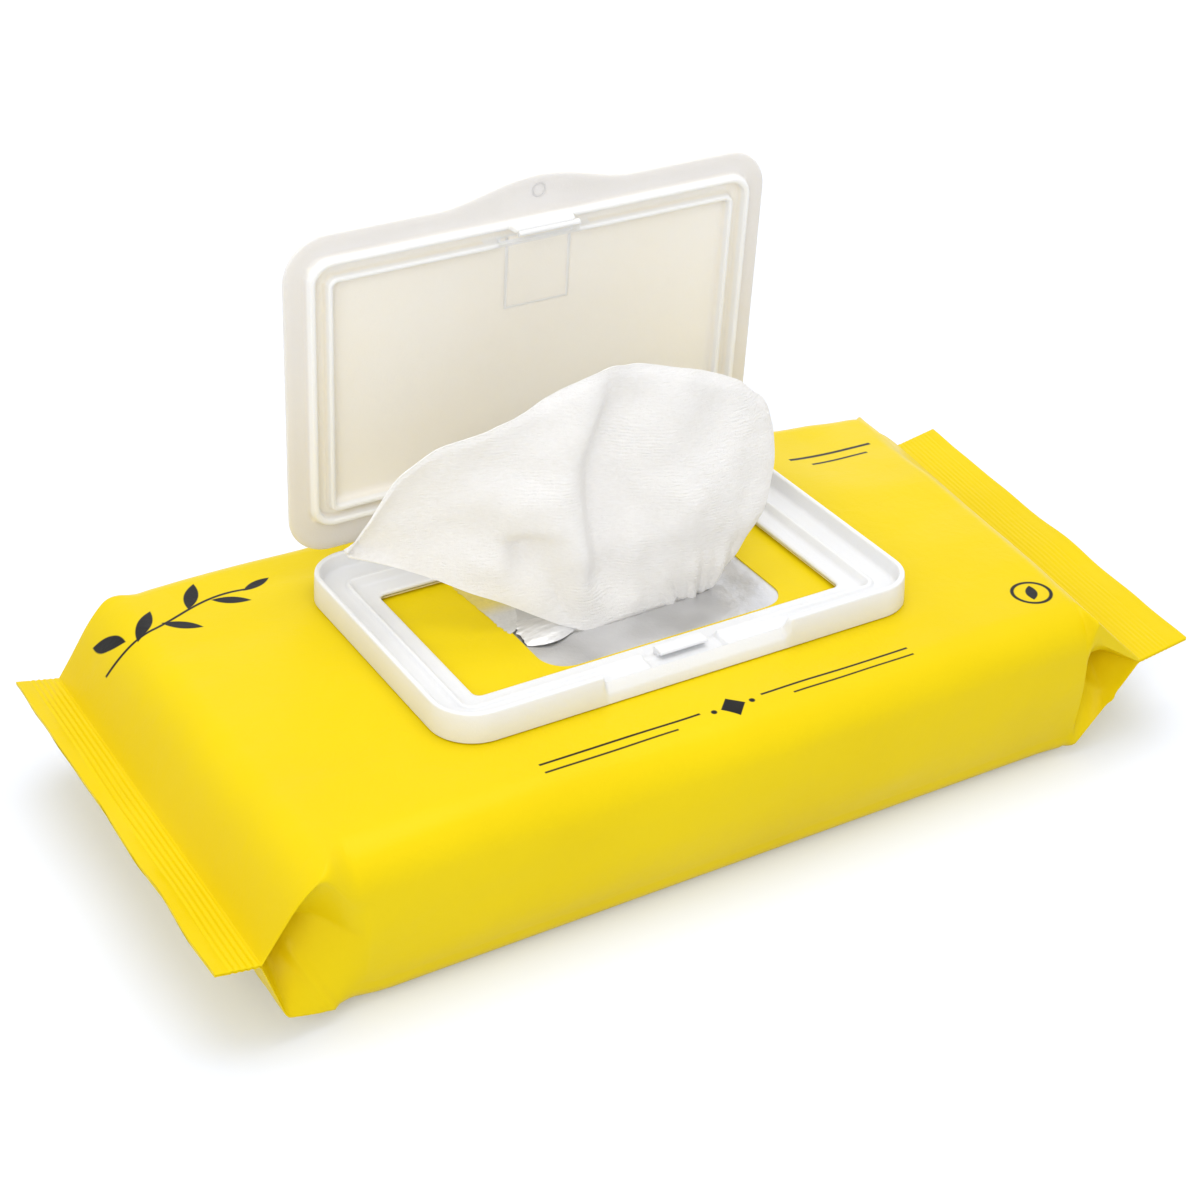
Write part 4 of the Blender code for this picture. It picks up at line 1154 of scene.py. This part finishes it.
# Painted highlight: the top of the moulded rectangle's bead below the tongue is coloured nearly pure white,
# standing in for the light it catches.
mark = (0.697 - depth).rise(0.0, 0.02) * by_tongue * (57.8 - height).rise(0.0, 0.4)
painted_bounce = thin_wall.blend(flow.rise(0.3, 0.75), PANEL_PAINTED_BOUNCE, PANEL_PAINTED_BOUNCE_DEEP)
plain = thin_wall.blend(flow.rise(0.3, 0.7), LID_COOL, LID_LIGHT)
inner = thin_wall.blend(rib_highlight, thin_wall.blend(panel, plain, painted_bounce), RIB_PAINTED_HIGHLIGHT)
thin_wall.finish(
    Base_Color=thin_wall.blend(mark, inner, MARK_PAINTED_HIGHLIGHT),
    Roughness=0.27 + flow * 0.12,
    Normal=thin_wall.bump(satin + flow * 3, 0.00012, 0.45),
    Subsurface_Weight=0.25,
    Subsurface_Radius=(0.004, 0.0037, 0.003),
    Subsurface_Scale=0.5,
)
for piece in (flip_lid, mould_marks):
    thin_wall.dress(piece)
    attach(piece, "lid")
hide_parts("lid")

# Living hinge: the thin flexed web of polypropylene between the frame's rear wall and the lid's edge.
# In the real pack it is one moulding with both, and it bends as the lid turns.
WEB_PLY = 0.35 * MM
WEB_SAG = 0.30 * MM
WEB_STATIONS = (-36, -35.6, -18, 0, 18, 35.6, 36)
web_rows = []
for k in range(13):
    share = k / 12
    py = FRAME_Y + 33.0 * MM + 1.75 * MM * share
    pz = HINGE_Z - WEB_PLY - WEB_SAG * 4 * share * (1 - share)
    web_rows.append([(FRAME_X + px * MM, py, pz) for px in WEB_STATIONS])
hinge_web = sheet_between("hinge_web", web_rows, closed=False)
thicken(hinge_web, WEB_PLY)
moulded.dress(hinge_web)
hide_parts("living_hinge")
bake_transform(hinge_web)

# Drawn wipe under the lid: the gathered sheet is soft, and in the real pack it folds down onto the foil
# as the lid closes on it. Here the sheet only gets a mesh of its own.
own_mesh(drawn_wipe)

# Floor: a sheet of white paper that the pack lies on, swept up behind it. Away from the pack it glows a
# little to the eye alone, so that it goes over into the white background without an edge.
SWEEP_HALF = 6.0
SWEEP_DROP = 0.0001
PAPER = (0.705, 0.74, 0.835, 1)
PAPER_GLOW = 0.18
line = [(-4.0, 0.0)]
for k in range(21):
    angle = math.pi / 2 * k / 20
    line.append((3.0 + 2.0 * math.sin(angle), 2.0 * (1 - math.cos(angle))))
line.append((5.0, 5.0))
sweep = bmesh.new()
faced = Matrix.Rotation(math.radians(-31), 4, "Z")
span(sweep, [
    [sweep.verts.new(faced @ Vector((across, py, pz - SWEEP_DROP))) for py, pz in line]
    for across in (-SWEEP_HALF, SWEEP_HALF)
], closed=False)
floor = linked("floor", sweep)
paper = Recipe("white_paper")
x, y, _ = paper.axes(paper.place())
distant = (x * x + y * y).power(0.5).rise(380, 800)
shine = paper.seen() * (distant * (1 - PAPER_GLOW) + PAPER_GLOW)
glow = paper.node("ShaderNodeEmission", None, {"Color": shine})
matte = paper.node("ShaderNodeBsdfDiffuse", None, {"Color": PAPER})
both = paper.node("ShaderNodeAddShader", None, {0: glow, 1: matte})
paper.feed(paper.tree.nodes["Material Output"].inputs["Surface"], both)
paper.dress(floor)

# Studio: an even white surround that is fully white to the eye and a little weaker as light, with a
# broad overhead softbox and a weaker one from the left.
SKY = 0.87
SKY_TINT = (1.0, 0.998, 0.992, 1)
studio = Recipe("studio", bpy.data.worlds, "Background")
bpy.context.scene.world = studio.owner
lit = studio.node("ShaderNodeMapRange", None, {"Value": studio.seen(), "To Min": SKY})
studio.finish(Color=SKY_TINT, Strength=lit)

LAMPS = (
    ("overhead", (0.08, 0.05, 1.3), (0.0, 0.0, 0.0), 1.2, 7.3, (1.0, 0.995, 0.985)),
    ("left", (-0.75, -0.85, 0.75), (0.0, 0.0, 0.05), 0.7, 4.4, (0.995, 0.998, 1.0)),
)
for label, spot, aim, size, power, tint in LAMPS:
    lamp = bpy.data.lights.new(label, "AREA")
    lamp.shape = "DISK"
    lamp.size = size
    lamp.energy = power
    lamp.color = tint
    holder = bpy.data.objects.new(label, lamp)
    holder.location = spot
    holder.rotation_euler = (Vector(aim) - Vector(spot)).to_track_quat("-Z", "Y").to_euler()
    frame_collection.objects.link(holder)

# Camera: solved from the corners of the frame and of the lid, and placed from the middle of the film
# under the frame. It turns from straight behind the front, looks down, and is a little out of level.
CAMERA_TURN = 31.0964
CAMERA_DROP = 31.4534
CAMERA_ROLL = 1.1236
CAMERA_LENS = 70.71
CAMERA_PLACE = (-0.2086, -0.3420, 0.2444)
turn, drop, roll = (math.radians(a) for a in (CAMERA_TURN, CAMERA_DROP, CAMERA_ROLL))
forward = Vector((math.sin(turn) * math.cos(drop), math.cos(turn) * math.cos(drop), -math.sin(drop)))
right = Vector((math.cos(turn), -math.sin(turn), 0.0))
upward = right.cross(forward)
level = right * math.cos(roll) + upward * math.sin(roll)
tall = upward * math.cos(roll) - right * math.sin(roll)
camera_data = bpy.data.cameras.new("camera")
camera_data.lens = CAMERA_LENS
camera_data.sensor_width = 36.0
camera = bpy.data.objects.new("camera", camera_data)
pose = Matrix((level, tall, -forward)).transposed().to_4x4()
pose.translation = Vector(CAMERA_PLACE) + Vector((FRAME_X, FRAME_Y, FILM_TOP))
camera.matrix_world = pose
frame_collection.objects.link(camera)
bpy.context.scene.camera = camera
bpy.context.scene.view_settings.view_transform = "Standard"
